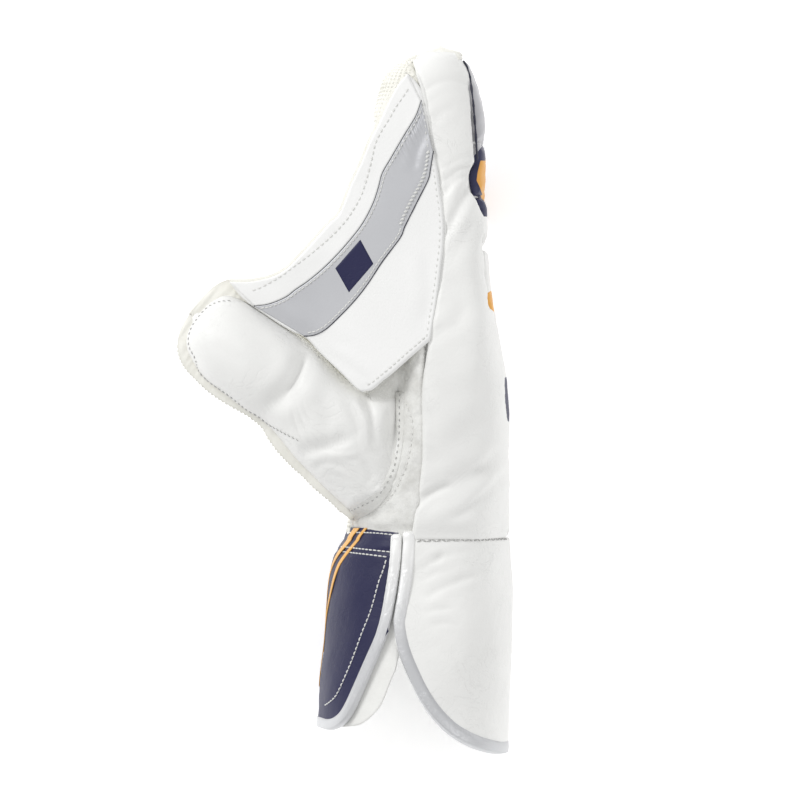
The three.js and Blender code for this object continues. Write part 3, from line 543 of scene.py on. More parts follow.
def marked(name, plain, *marks, rough=0.42):
    """Leather printed with colours wherever the piece's own marks, navy and orange, are above nothing."""
    made = leather(name, *plain, rough=rough, grain=0.2, crease=0.3)
    t = made.node_tree
    used = next(n for n in t.nodes if n.type == "GROUP")
    for k, socket in enumerate(("Color", "Shade")):
        colour = None
        for label, tones in zip(("navy", "orange"), marks):
            read_mark = node(t, "ShaderNodeAttribute", attribute_name=label)
            step = node(t, "ShaderNodeMapRange", [(0, read_mark.outputs["Fac"])], in_1=-0.08, in_2=0.08)
            mixed = node(t, "ShaderNodeMix", [("Factor", step.outputs[0])], data_type="RGBA")
            if colour is None:
                mixed.inputs[6].default_value = linear(*plain[k])
            else:
                t.links.new(colour, mixed.inputs[6])
            mixed.inputs[7].default_value = linear(*tones[k])
            colour = mixed.outputs[2]
        t.links.new(colour, used.inputs[socket])
    return made


WHITE = leather("white_leather", (240, 240, 238), (214, 214, 212))
WHITE_SOFT = leather("white_thumb_leather", (239, 239, 237), (212, 212, 210), crease=0.55, creases=60.0)
WHITE_FLAT = leather("white_web_leather", (241, 241, 240), (222, 222, 221), crease=0.12)
CREAM = nap("cream_rubber", (238, 237, 230), (222, 220, 210), size=900.0, depth=0.25, Roughness=0.6)
SUEDE = nap("suede", (233, 233, 230), (204, 203, 198), size=1300.0, depth=0.9, mottle=0.7,
            Roughness=0.95, Sheen_Weight=0.3)
GREY = leather("grey_band", (196, 197, 200), (178, 179, 184), rough=0.34, grain=0.06, size=1600.0,
               crease=0.08, creases=140.0, Metallic=0.2)
SILVER = leather("silver_binding", (214, 215, 217), (182, 183, 186), rough=0.26, grain=0.08, size=1400.0,
                 crease=0.35, creases=180.0, Metallic=0.25)


def painted_light_to_wrist(skin):
    """Paints a leather paler, to white, over the last of the cuff before the wrist: painted light where the
    binding lies in shade.
    """
    t = skin.node_tree
    used = next(n for n in t.nodes if n.type == "GROUP")
    at = node(t, "ShaderNodeTexCoord").outputs["Object"]
    y = node(t, "ShaderNodeSeparateXYZ", [(0, at)]).outputs["Y"]
    wrist = ORIGIN[1] * 0.001
    share = node(t, "ShaderNodeMapRange", [(0, y)], in_1=wrist - 0.05, in_2=wrist - 0.005)
    for socket in ("Color", "Shade"):
        mixed = node(t, "ShaderNodeMix", [("Factor", share.outputs[0])], data_type="RGBA")
        mixed.inputs[6].default_value = used.inputs[socket].default_value
        mixed.inputs[7].default_value = linear(244, 244, 243)
        t.links.new(mixed.outputs[2], used.inputs[socket])


# Painted light: the silver binding turns paler near the wrist, where its top lies in shade.
painted_light_to_wrist(SILVER)
NAVY = leather("navy_leather", (33, 34, 72), (24, 25, 56), rough=0.42, grain=0.16, size=1100.0, crease=0.3,
               Specular_IOR_Level=0.35)
INK = leather("dark_piping", (52, 54, 74), (34, 35, 50), rough=0.4)
ORANGE = leather("orange_band", (232, 176, 88), (205, 146, 62), rough=0.34, grain=0.12, crease=0.2)
LINING = nap("lining", (238, 238, 235), (222, 222, 219), size=700.0, depth=0.5, mottle=0.4, Roughness=0.9)
THREAD = nap("white_thread", (236, 236, 233), (205, 205, 201), size=3000.0, depth=0.7, Roughness=0.8)
SHADOW_THREAD = nap("grey_thread", (190, 190, 188), (165, 165, 163), size=3000.0, depth=0.7, Roughness=0.8)

# Meshes

made_pieces = {}


def make(name, verts, faces, skin, slot=None):
    """A piece of the scene from points in the glove's own frame."""
    mesh = bpy.data.meshes.new(name)
    verts = np.array(verts, float)
    verts[:, 2] = np.maximum(verts[:, 2], PIECE_GAP)
    mesh.from_pydata(((verts + ORIGIN) * 0.001).tolist(), [], faces)
    mesh.polygons.foreach_set("use_smooth", [True] * len(mesh.polygons))
    mesh.materials.append(skin)
    mesh.update()
    piece = bpy.data.objects.new(name, mesh)
    bpy.context.scene.collection.objects.link(piece)
    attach(piece, "root")
    made_pieces[name] = (verts, faces)
    return piece


def quads(nu, nv, wrap=False, start=0, flip=False):
    """Faces of a grid; wrap joins its last column to its first."""
    out = []
    for i in range(nu - 1):
        for j in range(nv if wrap else nv - 1):
            k = (j + 1) % nv
            q = (start + i * nv + j, start + i * nv + k, start + (i + 1) * nv + k, start + (i + 1) * nv + j)
            out.append(q[::-1] if flip else q)
    return out


def normals(p, wrap=False, away=None):
    """Directions straight out of a grid, to the side of away, or else out of its middle."""
    du = np.gradient(p, axis=0)
    dv = (np.roll(p, -1, 1) - np.roll(p, 1, 1)) / 2 if wrap else np.gradient(p, axis=1)
    n = np.cross(dv, du)
    size = np.linalg.norm(n, axis=-1, keepdims=True)
    n = n / np.maximum(size, 1e-9)
    if away is None:
        away = p - p.mean(axis=1, keepdims=True)
    return n if (n * away).sum() > 0 else -n


def edge_distance(p, sides="uv"):
    """How far each grid point is from the grid's open edges, along the surface.

    sides: s and e for the first and last row, u for both; l and r for the first and last
    column, v for both.
    """
    du = np.linalg.norm(np.diff(p, axis=0), axis=-1)
    dv = np.linalg.norm(np.diff(p, axis=1), axis=-1)
    u0 = np.vstack([np.zeros(p.shape[1]), np.cumsum(du, axis=0)])
    v0 = np.hstack([np.zeros((p.shape[0], 1)), np.cumsum(dv, axis=1)])
    found = np.full(p.shape[:2], 1e6)
    if "u" in sides or "s" in sides:
        found = np.minimum(found, u0)
    if "u" in sides or "e" in sides:
        found = np.minimum(found, u0[-1:] - u0)
    if "v" in sides or "l" in sides:
        found = np.minimum(found, v0)
    if "v" in sides or "r" in sides:
        found = np.minimum(found, v0[:, -1:] - v0)
    return found


def close_end(grid, reach, rows=(0.3, 0.6, 0.85, 0.98)):
    """Adds rows that draw the last row of a grid in, nearly to a point, reach further on."""
    last = grid[-1]
    middle = last.mean(axis=0)
    reach = np.asarray(reach, float)
    more = [last * (1 - t) + middle * t + reach * math.sqrt(1 - (1 - t) ** 2) for t in rows]
    return np.concatenate([grid, np.array(more)])


def mark(piece, name, values):
    """Keeps a number for each corner of a piece, for its material to read."""
    kept = piece.data.attributes.new(name, "FLOAT", "POINT")
    kept.data.foreach_set("value", np.asarray(values, float).ravel())


def inside(points, outline):
    """How far points of the side view are inside an outline; less than nothing outside it."""
    p = points.reshape(-1, 2)
    a = np.asarray(outline, float)
    b = np.roll(a, -1, axis=0)
    way = b - a
    t = np.clip(((p[:, None] - a) * way).sum(-1) / (way ** 2).sum(-1), 0, 1)
    d = np.sqrt(((p[:, None] - a - t[..., None] * way) ** 2).sum(-1)).min(1)
    x, y = p[:, None, 0], p[:, None, 1]
    cross = (a[:, 1] > y) != (b[:, 1] > y)
    at = a[:, 0] + (y - a[:, 1]) * way[:, 0] / np.where(way[:, 1] == 0, 1e-9, way[:, 1])
    odd = (cross & (x < at)).sum(1) % 2 == 1
    return np.where(odd, d, -d)


def rounded(d, radius):
    """Rises from 0 to 1 over radius, as the edge of a rounded slab does."""
    t = np.clip(d / radius, 0, 1)
    return np.sqrt(np.maximum(1 - (1 - t) ** 2, 0))


def spread(start, end, count, crowd=0.5):
    """Numbers from start to end that stand closer together near both."""
    t = np.linspace(0, 1, count)
    return start + (end - start) * (t - crowd * np.sin(2 * math.pi * t) / (2 * math.pi))


def shell(name, outer, inner, skin, slot=None, wrap=False):
    """A closed skin between two grids of points."""
    nu, nv = outer.shape[:2]
    verts = np.concatenate([outer.reshape(-1, 3), inner.reshape(-1, 3)])
    n = nu * nv
    faces = quads(nu, nv, wrap) + quads(nu, nv, wrap, start=n, flip=True)
    ring = [(i * nv + j, i * nv + (j + 1) % nv) for i in (0, nu - 1) for j in range(nv if wrap else nv - 1)]
    for a, b in ring[:len(ring) // 2]:
        faces.append((b, a, a + n, b + n))
    for a, b in ring[len(ring) // 2:]:
        faces.append((a, b, b + n, a + n))
    if not wrap:
        for i in range(nu - 1):
            a, b = i * nv, (i + 1) * nv
            faces.append((a, b, b + n, a + n))
            a, b = a + nv - 1, b + nv - 1
            faces.append((b, a, a + n, b + n))
    tri = np.array([(f[0], f[1], f[2]) for f in faces] + [(f[0], f[2], f[3]) for f in faces])
    p = verts - verts.mean(0)
    if np.einsum("ij,ij->i", p[tri[:, 0]], np.cross(p[tri[:, 1]], p[tri[:, 2]])).sum() < 0:
        faces = [f[::-1] for f in faces]
    return make(name, verts, faces, skin, slot)


def tube(name, path, radius, skin, slot=None, sides=8, radii=None):
    """A round roll along a path."""
    path = np.asarray(path, float)
    along = np.gradient(path, axis=0)
    along /= np.linalg.norm(along, axis=1, keepdims=True)
    across = np.cross(along, np.array([0.0, 0.0, 1.0]))
    across /= np.maximum(np.linalg.norm(across, axis=1, keepdims=True), 1e-9)
    up = np.cross(across, along)
    turn = np.arange(sides) * 2 * math.pi / sides
    r = np.full(len(path), radius) if radii is None else np.asarray(radii)
    verts = (path[:, None] + r[:, None, None] * (np.cos(turn)[None, :, None] * across[:, None]
             + np.sin(turn)[None, :, None] * up[:, None]))
    faces = quads(len(path), sides, wrap=True)
    n = len(path) * sides
    ends = np.array([path[0], path[-1]])
    faces += [(n, (j + 1) % sides, j) for j in range(sides)]
    last = (len(path) - 1) * sides
    faces += [(n + 1, last + j, last + (j + 1) % sides) for j in range(sides)]
    return make(name, np.concatenate([verts.reshape(-1, 3), ends]), faces, skin, slot)


RAY_START = 400
NEAR_HEIGHT = 120


class Drape:
    """Finds the top of pieces under points of the side view."""

    def __init__(self, *names):
        verts, faces, start = [], [], 0
        for name in names:
            v, f = made_pieces[name]
            verts.append(v)
            faces += [tuple(i + start for i in q) for q in f]
            start += len(v)
        self.tree = BVHTree.FromPolygons(np.concatenate(verts).tolist(), faces)

    def at(self, xy, lift=0.0):
        """Points that lie on the pieces, lifted off them, and the directions out of them."""
        points, ups = [], []
        for x, y in np.asarray(xy).reshape(-1, 2):
            hit, n, _, _ = self.tree.ray_cast(Vector((x, y, RAY_START)), Vector((0, 0, -1)))
            if hit is None:
                near, n, _, _ = self.tree.find_nearest(Vector((x, y, NEAR_HEIGHT)))
                hit = Vector((x, y, near.z))
            n = Vector(n) if n.z > 0 else -Vector(n)
            points.append(Vector(hit) + n * lift)
            ups.append(n)
        return np.array(points), np.array(ups)


def soft(values, reach=3):
    """Takes the jumps out of a row of values."""
    out = np.array(values, float)
    for _ in range(reach):
        out[1:-1] = (out[:-2] + 2 * out[1:-1] + out[2:]) / 4
    return out


def stitches(name, path, ups, pitch, length, radius, skin, slot=None, slant=0.0, whip=0.0):
    """Threads that come up through a seam at an even pitch; slant leans them by turns."""
    gaps = np.linalg.norm(np.diff(path, axis=0), axis=1)
    s = np.concatenate([[0], np.cumsum(gaps)])

    def pick(values, at):
        return np.stack([np.interp(at, s, values[:, k]) for k in range(3)], -1)

    ups = np.stack([soft(ups[:, k]) for k in range(3)], -1)
    verts, faces, base = [], [], 0
    sides, cuts = 6, 6
    turn = np.arange(sides) * 2 * math.pi / sides
    for count, start in enumerate(np.arange(pitch * 0.3, s[-1] - length, pitch)):
        t = np.linspace(0, 1, cuts)
        line, up = pick(path, start + t * length), pick(ups, start + t * length)
        up /= np.linalg.norm(up, axis=1, keepdims=True)
        fore = line[-1] - line[0]
        fore /= max(np.linalg.norm(fore), 1e-9)
        side = np.cross(fore, up)
        side /= np.linalg.norm(side, axis=1, keepdims=True)
        lean = slant * (1 if count % 2 else -1)
        line = line + side * ((t - 0.5) * 2 * lean + whip * (t - 0.5) * 2)[:, None]
        line = line + up * (np.sin(t * math.pi) * radius * 1.1 - radius * 0.55)[:, None]
        fat = radius * (0.72 + 0.28 * np.sin(t * math.pi))
        ring = line[:, None] + fat[:, None, None] * (np.cos(turn)[None, :, None] * side[:, None]
                                                     + np.sin(turn)[None, :, None] * up[:, None])
        verts.append(ring.reshape(-1, 3))
        faces += quads(cuts, sides, wrap=True, start=base)
        verts.append(line[[0, -1]])
        n = base + cuts * sides
        last = base + (cuts - 1) * sides
        faces += [(n, base + (j + 1) % sides, base + j) for j in range(sides)]
        faces += [(n + 1, last + j, last + (j + 1) % sides) for j in range(sides)]
        base += cuts * sides + 2
    return make(name, np.concatenate(verts), faces, skin, slot)


# A stud of the rubber: the radius of its foot, the share of it left at the shoulder, and how far
# its foot is sunk and its shoulder and top stand up
STUD_FOOT = 0.82
STUD_SHOULDER = 0.66
STUD_SUNK = 0.12
STUD_RISE = 0.46
STUD_TOP = 0.62
STUD_SIDES = 6


def pimples(name, surface, u_range, skin, slot, pitch=PIMPLE_PITCH, keep=None, down=False):
    """Small round studs over surface(u, v), in staggered rows an even distance apart."""
    us = np.linspace(*u_range, 160)
    spine = surface(us, np.full_like(us, 0.5))
    s = np.concatenate([[0], np.cumsum(np.linalg.norm(np.diff(spine, axis=0), axis=1))])
    verts, faces, base = [], [], 0
    sides = STUD_SIDES
    turn = np.arange(sides) * 2 * math.pi / sides
    rows = np.interp(np.arange(pitch, s[-1] - pitch * 0.6, pitch * 0.87), s, us)
    for row, u in enumerate(rows):
        vs = np.linspace(0.0, 1.0, 200)
        line = surface(np.full_like(vs, u), vs)
        r = np.concatenate([[0], np.cumsum(np.linalg.norm(np.diff(line, axis=0), axis=1))])
        if r[-1] < 3 * pitch:
            continue
        at = np.interp(np.arange(pitch * (0.9 if row % 2 else 1.4), r[-1] - pitch * 0.8, pitch), r, vs)
        p = surface(np.full_like(at, u), at)
        eps = 1e-3
        pu = surface(np.full_like(at, u + eps * (u_range[1] - u_range[0])), at) - p
        pv = surface(np.full_like(at, u), at + eps) - p
        n = np.cross(pu, pv)
        n /= np.maximum(np.linalg.norm(n, axis=1, keepdims=True), 1e-9)
        if down:
            n *= -np.sign(n[:, 2:])
        elif (n * (p - line.mean(0))).sum() < 0:
            n = -n
        for c, up in zip(p, n):
            if keep is not None and not keep(c):
                continue
            a = np.cross(up, [0.3, 1.0, 0.2])
            a /= np.linalg.norm(a)
            b = np.cross(up, a)
            circle = np.cos(turn)[:, None] * a + np.sin(turn)[:, None] * b
            verts.append(c + circle * STUD_FOOT - up * STUD_SUNK)
            verts.append(c + circle * STUD_FOOT * STUD_SHOULDER + up * STUD_RISE)
            verts.append((c + up * STUD_TOP)[None])
            for j in range(sides):
                k = (j + 1) % sides
                faces.append((base + j, base + k, base + sides + k, base + sides + j))
                faces.append((base + sides + j, base + sides + k, base + 2 * sides))
            base += 2 * sides + 1
    return make(name, np.concatenate(verts), faces, skin, slot)


# Side of the index finger and hand

PANEL_FOLDS = [
    ([(440, 186), (449, 177), (458, 169.5), (473, 165)], 0.9, 1.6),
    ([(441, 198), (448, 188), (456, 179), (469, 174)], 0.8, 1.5),
    ([(443, 240), (448, 228), (453, 217), (460, 200), (470, 179)], 1.6, 2.4),
    ([(452, 262), (462, 236), (470, 212), (475, 196)], 0.7, 3.2),
    ([(412, 516), (424, 502), (438, 490), (454, 481), (489, 461)], 1.5, 4.6),
    ([(502, 469), (493, 478), (484, 487), (461, 510), (445, 519)], 0.8, 2.2),
    ([(428, 470), (445, 447), (470, 425), (492, 412)], 0.9, 5.2),
    ([(426, 345), (440, 331), (455, 322), (466, 300)], 0.5, 3.0),
    ([(420, 95), (437, 84), (452, 82), (463, 92)], 0.35, 1.6),
    ([(431, 125), (442, 112), (455, 108)], 0.35, 2.2),
    ([(488, 350), (478, 380), (476, 410), (484, 432)], 0.5, 3.6),
    ([(458, 372), (464, 400), (468, 430), (463, 458), (446, 480)], 1.5, 7.5),
    ([(414, 508), (426, 495), (440, 487), (452, 483)], 0.8, 1.6),
    ([(490, 448), (482, 462), (468, 474)], 0.7, 2.4),
    ([(448, 270), (458, 290), (462, 316), (458, 340)], 0.9, 6.0),
    ([(470, 230), (476, 260), (474, 290)], 0.7, 4.0),
    ([(430, 400), (434, 430), (432, 456)], 0.5, 3.4),
    ([(444, 170), (456, 160), (470, 156)], 0.35, 1.4),
]


# The panel's height at its very edge, what it gains there, over what width, and how it puffs
PANEL_FOOT = 0.4
PANEL_THICK = 3.1
PANEL_ROUND = 2.6
PANEL_PUFF = 0.9


def build_side_panel():
    """Padded leather over the thumb side of the index finger and hand."""
    y = np.concatenate([np.linspace(0.15, 6, 16), np.linspace(6.8, 205, 176), np.linspace(205.8, 226.6, 24)])
    left, right = edge_at(PANEL_PALM_EDGE, y), edge_at(PANEL_BACK_EDGE, y) - 1.9 * ease(88, 100, y)
    a0 = np.clip(side_share(left, y), -0.97, 0.9)
    a1 = np.clip(side_share(right, y), -0.9, 0.985)
    t = spread(0, 1, 52)
    a = a0[:, None] * (1 - t) + a1[:, None] * t
    p = side_surface(y[:, None] + 0 * a, a)
    n = normals(p, away=np.array([0, 0, 1.0]))
    d = edge_distance(p)
    push = folds(p[..., :2], PANEL_FOLDS)
    puff = PANEL_PUFF * np.sin(np.clip(t, 0, 1) * math.pi)[None, :] ** 0.7
    seam = 0.25 * ripple(p, 9.0, 3) * np.exp(-(d / 5) ** 2)
    rise = PANEL_FOOT + PANEL_THICK * rounded(d, PANEL_ROUND) + puff + push + seam + 0.35 * ripple(p, 42.0, 5)
    at_seam = 0.7 + 1.4 * rounded(p[..., 1], 2.2) + 1.8 * ease(1.5, 14, p[..., 1])
    sides_d = edge_distance(p, "lre")
    near = ease(14, 1.5, p[..., 1])
    rise = rise * (1 - near) + near * (at_seam * rounded(sides_d, PANEL_ROUND) + CLEAR + 0.5 * push)
    shell("side_panel_leather", p + n * rise[..., None], p + n * CLEAR, WHITE, "white_leather")


build_side_panel()

# Rubber of the palm and fingertips


def lobe_edge(s):
    """The turn from the back at which the rubber ends on a finger."""
    y = HAND_LENGTH + s * LENGTHS["index"]
    a = np.clip(side_share(edge_at(PANEL_PALM_EDGE, np.minimum(y, 221)), y), -0.95, 0.9)
    turn = np.arccos(np.clip(np.sign(a) * np.abs(a) ** (FINGER_POWER / 2), -1, 1))
    return turn * (1 - ease(0.935, 0.957, s))


def build_lobe(name):
    """Rubber that wraps a finger from its foot over its tip."""
    rows, across = (112, 56) if name == "index" else (92, 48)
    s = np.sin(np.linspace(0, 1, rows) * math.pi / 2) * 1.16 - 0.16
    v = spread(0, 1, across)

    def surface(ss, vv, g=RUBBER):
        edge = lobe_edge(np.maximum(ss, 0))
        turn = edge + (2 * math.pi - 2 * edge) * vv
        p = finger_surface(name, np.maximum(ss, 0), turn, g, min(g, 1.2), g)
        back = np.minimum(ss, 0) * LENGTHS[name]
        sunk = ease(0, -0.16, ss) * 4.0
        p[..., 1] += back
        p[..., 0] += np.where(np.cos(turn) < 0, sunk, -sunk)
        return p

    S, V = np.meshgrid(s, v, indexing="ij")
    outer, inner = surface(S, V), surface(S, V, 0.5)
    outer = outer + 0.25 * (ripple(outer, 30.0, 8)[..., None] * normals(outer))
    d = edge_distance(inner, "v")
    closed = np.maximum(rounded(d, 2.0), ease(0.938, 0.965, S))
    outer = inner + (outer - inner) * closed[..., None]
    outer, inner = close_end(outer, (0, 0.35, 0)), close_end(inner, (0, 0.2, 0))
    shell(f"{name}_rubber", outer, inner, CREAM, "catching_rubber")
    pimples(f"{name}_pimples", surface, (-0.1, 0.965), CREAM, "catching_rubber",
            keep=((lambda c: c[2] < 116 or c[1] > 196) if name == "index" else (lambda c: c[0] < 4)))


for finger in LENGTHS:
    build_lobe(finger)


def palm_turn(y, v):
    """Turns round the hand that the palm's rubber covers."""
    edge = edge_at(PANEL_PALM_EDGE, y)
    a = np.clip(side_share(edge, np.minimum(y, 122)), -0.98, 0.9)
    start = np.arccos(np.clip(np.sign(a) * np.abs(a) ** (HAND_POWER / 2), -1, 1))
    start = np.where(y < 96, math.pi - 0.28, start)
    end = 2 * math.pi - 0.95
    return start + (end - start) * v


def palm_surface(y, v, g=RUBBER):
    """The rubber's skin over the palm."""
    return hand_surface(y, palm_turn(y, v), g)


def build_palm():
    """Rubber over the palm of the hand, with its pimples."""
    y = spread(0.8, HAND_LENGTH + 0.2, 100)
    v = spread(0, 1, 68)
    Y, V = np.meshgrid(y, v, indexing="ij")
    inner = palm_surface(Y, V, 0.4)
    outer = palm_surface(Y, V)
    d = edge_distance(inner)
    lengthways = np.exp(-((V - 0.36 - 0.12 * np.sin(Y / 45)) / 0.022) ** 2)
    crossways = np.exp(-((Y - 58 - 30 * V) / 3.0) ** 2)
    crease = lengthways + crossways
    outer = inner + (outer - inner) * (rounded(d, 2.2) * (1 - 0.3 * np.clip(crease, 0, 1)))[..., None]
    shell("palm_rubber", outer, inner, CREAM, "catching_rubber")
    pimples("palm_pimples", palm_surface, (2.0, HAND_LENGTH - 2), CREAM, "catching_rubber",
            keep=lambda c: 1.2 < c[2] < 114)


build_palm()

# Leather of the hand and fingers


def build_hand():
    """Hollow leather of the hand, and of each finger."""
    y = np.linspace(0.3, HAND_LENGTH - 0.6, 70)
    turn = np.linspace(0, 2 * math.pi, 81)[:-1]
    Y, T = np.meshgrid(y, turn, indexing="ij")
    outer = hand_surface(Y, T, -0.15)
    outer = outer + normals(outer, wrap=True) * (0.2 * ripple(outer, 24.0, 2))[..., None]
    outer[..., 2] = np.maximum(outer[..., 2], PIECE_GAP)
    inner = hand_surface(np.minimum(Y, HAND_LENGTH - 11), T, -5.0)
    shell("hand_leather", outer, inner, WHITE, "white_leather", wrap=True)
    for name in LENGTHS:
        s = np.sin(np.linspace(0, 1, 46) * math.pi / 2)
        S, T2 = np.meshgrid(s, np.linspace(0, 2 * math.pi, 45)[:-1], indexing="ij")
        out = finger_surface(name, S, T2)
        out[0, :, 1] -= 3
        bore = out + normals(out, wrap=True) * -3.0
        close = ease(0.9, 1.0, S)[..., None]
        centre = bore.mean(axis=1, keepdims=True)
        bore = bore * (1 - close) + centre * close
        bore[..., 1] -= 3.2 * ease(0.8, 1.0, S)
        out, bore = close_end(out, (0, 0.3, 0)), close_end(bore, (0, 0.0, 0))
        shell(f"{name}_leather", out, bore, WHITE, "white_leather", wrap=True)


build_hand()

# Back of the fingers and hand

# Each roll's name, start and end as shares of the finger
ROLLS = [("knuckle", 0.02, 0.26), ("middle", 0.27, 0.54), ("tip", 0.55, 0.948)]
# How far from the finger's middle, of 1, a roll's edges are where the panel doesn't set them
FAR_EDGE = 0.62
CHEVRON = side_view([(483.5, 145), (478, 152), (472, 158.5), (467, 166), (465, 175.5), (468, 189), (472, 200),
                     (476, 209), (480.5, 217), (540, 217), (540, 145)])
WEDGE = side_view([(540, 160.5), (480.4, 161), (477.5, 173), (476.5, 181.5), (479.6, 188), (483, 197),
                   (540, 197)])


# A roll's thickness at its rounded edge, that edge's width, and what it gains towards its middle
ROLL_THICK = 2.9
ROLL_ROUND = 4.5
ROLL_PUFF = 0.9


def build_rolls():
    """Padded rolls on the back of the fingers, with the print that runs over them."""
    skins = {"knuckle": (marked("white_pad", WHITE_TONES, NAVY_TONES, ORANGE_TONES), "white_leather"),
             "middle": (marked("grey_pad", GREY_TONES, NAVY_TONES, ORANGE_TONES, rough=0.33), "navy_leather"),
             "tip": (marked("grey_tip_pad", GREY_TONES, NAVY_TONES, ORANGE_TONES, rough=0.33), "grey_band")}
    for name in LENGTHS:
        rows, across = (60, 48) if name == "index" else (42, 34)
        for roll, start, end in ROLLS:
            s = spread(start, end, rows)
            y = HAND_LENGTH + s * LENGTHS["index"]
            if name == "index":
                a = np.clip(side_share(edge_at(PANEL_BACK_EDGE, y) - 1.2, y), 0.1, 0.97)
            else:
                a = np.full_like(s, FAR_EDGE)
            upper = np.arccos(np.clip(a ** (FINGER_POWER / 2), 0, 1))
            lower = np.full_like(s, math.acos(FAR_EDGE ** (FINGER_POWER / 2)))
            v = spread(0, 1, across)
            turn = upper[:, None] * (1 - v) - lower[:, None] * v
            base = finger_surface(name, s[:, None] + 0 * v, turn, 0, 0.2, 0.4)
            n = normals(base, away=np.array([1.0, 0, 0]))
            d = edge_distance(base)
            thick = ROLL_THICK * rounded(d, ROLL_ROUND) + ROLL_PUFF * ease(0, 10, d)
            thick = thick + 0.2 * ripple(base, 14.0, 4) * ease(0, 3, d)
            skin, slot = skins[roll]
            outer = base + n * (0.15 + thick)[..., None]
            piece = shell(f"{name}_{roll}_pad", outer, base - n * 0.05, skin, slot)
            plan = np.stack([outer[..., 0], y[:, None] + 0 * outer[..., 0]], -1)
            for label, outline in (("navy", CHEVRON), ("orange", WEDGE)):
                found = inside(plan, outline)
                mark(piece, label, np.concatenate([found, found]))


build_rolls()


BACK_BAND = [(503, 378), (520, 372), (560, 372), (560, 426), (520, 426), (503, 419)]
BACK_SPOT = [(484, 295), (492, 290), (540, 290), (540, 312), (492, 312), (484, 308)]


def build_back_panel():
    """Ribbed padding over the back of the hand."""
    y = spread(1.0, HAND_LENGTH - 0.5, 92)
    a = np.clip(side_share(edge_at(PANEL_BACK_EDGE, y), y) + 0.015, 0.2, 0.985)
    upper = np.arccos(np.clip(a ** (HAND_POWER / 2), 0, 1))
    lower = np.full_like(y, 1.02)
    v = spread(0, 1, 80)
    turn = upper[:, None] * (1 - v) - lower[:, None] * v
    base = hand_surface(y[:, None] + 0 * v, turn, 0.3)
    n = normals(base, away=np.array([1.0, 0, 0]))
    d = edge_distance(base)
    z = base[..., 2]
    rib = np.abs(np.sin((z - FINGER_FOOT + FINGER_PITCH / 2) * math.pi / FINGER_PITCH)) ** 0.35
    far = ease(40, 62, base[..., 1])
    cross = np.exp(-((base[..., 1] - 42) / 2.0) ** 2) + np.exp(-((base[..., 1] - 92) / 1.8) ** 2) * 0.8
    thick = rounded(d, 3.0) * (1.0 + 2.0 * rib * far + 1.5 * (1 - far)) - 1.2 * cross * ease(0, 6, d)
    thick = np.maximum(thick, 0.15) + 0.2 * ripple(base, 20.0, 9) * ease(0, 4, d)
    outer = base + n * thick[..., None]
    piece = shell("back_leather", outer, base - n * 0.1,
                  marked("back_print", WHITE_TONES, NAVY_TONES, ORANGE_TONES), "white_leather")
    for label, outline in (("navy", BACK_BAND), ("orange", BACK_SPOT)):
        found = inside(outer[..., :2], side_view(outline))
        mark(piece, label, np.concatenate([found, found]))


build_back_panel()

# Thumb

THUMB_FOLDS = [
    ([(307, 347), (303, 362), (298, 376), (288, 390), (277, 400), (262, 410)], 2.1, 4.2),
    ([(306, 356), (301, 370), (294, 384), (284, 395)], 0.9, 1.3),
    ([(361, 391), (366, 400), (370, 411), (372.5, 424), (373, 434), (375, 453)], 1.3, 2.2),
    ([(296, 450), (312, 449), (326, 446), (340, 441), (352, 433)], 1.9, 3.4),
    ([(309, 474), (323, 463), (336, 463), (347, 467)], 0.8, 1.9),
    ([(334, 474), (343, 480), (352, 489), (358, 493)], 0.5, 1.3),
    ([(322, 482), (338, 486), (350, 494)], 0.45, 1.2),
    ([(344, 398), (352, 412), (358, 428), (357, 440)], 0.7, 2.2),
    ([(318, 392), (325, 410), (327, 428), (320, 442)], 0.8, 4.4),
    ([(292, 404), (294, 420), (300, 436), (306, 446)], 0.4, 0.9),
    ([(296, 402), (299, 416), (305, 430), (312, 440)], 0.35, 0.9),
    ([(301, 400), (305, 412), (311, 424)], 0.3, 0.8),
    ([(366, 398), (371, 412), (373, 428)], 0.35, 0.8),
    ([(352, 402), (360, 416), (364, 432), (363, 446)], 0.35, 0.9),
    ([(240, 330), (262, 345), (276, 352)], 0.3, 3.4),
    ([(214, 340), (226, 352), (246, 364)], 0.3, 3.0),
    ([(360, 458), (368, 470), (371, 484)], 0.5, 1.8),
    ([(384, 420), (383, 440), (378, 456)], 0.5, 2.0),
    ([(388, 404), (389, 430), (385, 452)], 0.35, 1.0),
    ([(330, 450), (344, 452), (358, 448)], 0.35, 1.0),
    ([(336, 456), (350, 459), (362, 458)], 0.3, 1.0),
    ([(326, 470), (342, 476), (356, 484)], 0.3, 0.9),
]


def gusset_height(xy):
    """Height of the hand and its gusset under the thumb; nothing beside them."""
    y = xy[..., 1]
    a = side_share(xy[..., 0], y)
    top = side_surface(y, np.clip(a, -1, 1))[..., 2]
    over = ease(1.0, 0.9, np.abs(a)) * ease(112, 98, y)
    return np.where(over > 0, top * over + (1 - over) * 40, 0)


# Where the thumb's leather starts, as a share of the thumb's length, how long it is, and its
# thickness, over all and at its sewn edge
THUMB_START = -0.098
THUMB_SPAN = 1.09
THUMB_LEATHER = 1.6
THUMB_EDGE = 0.3
# How softly that leather runs into the height of the gusset
MEET_SOFT = 1.6


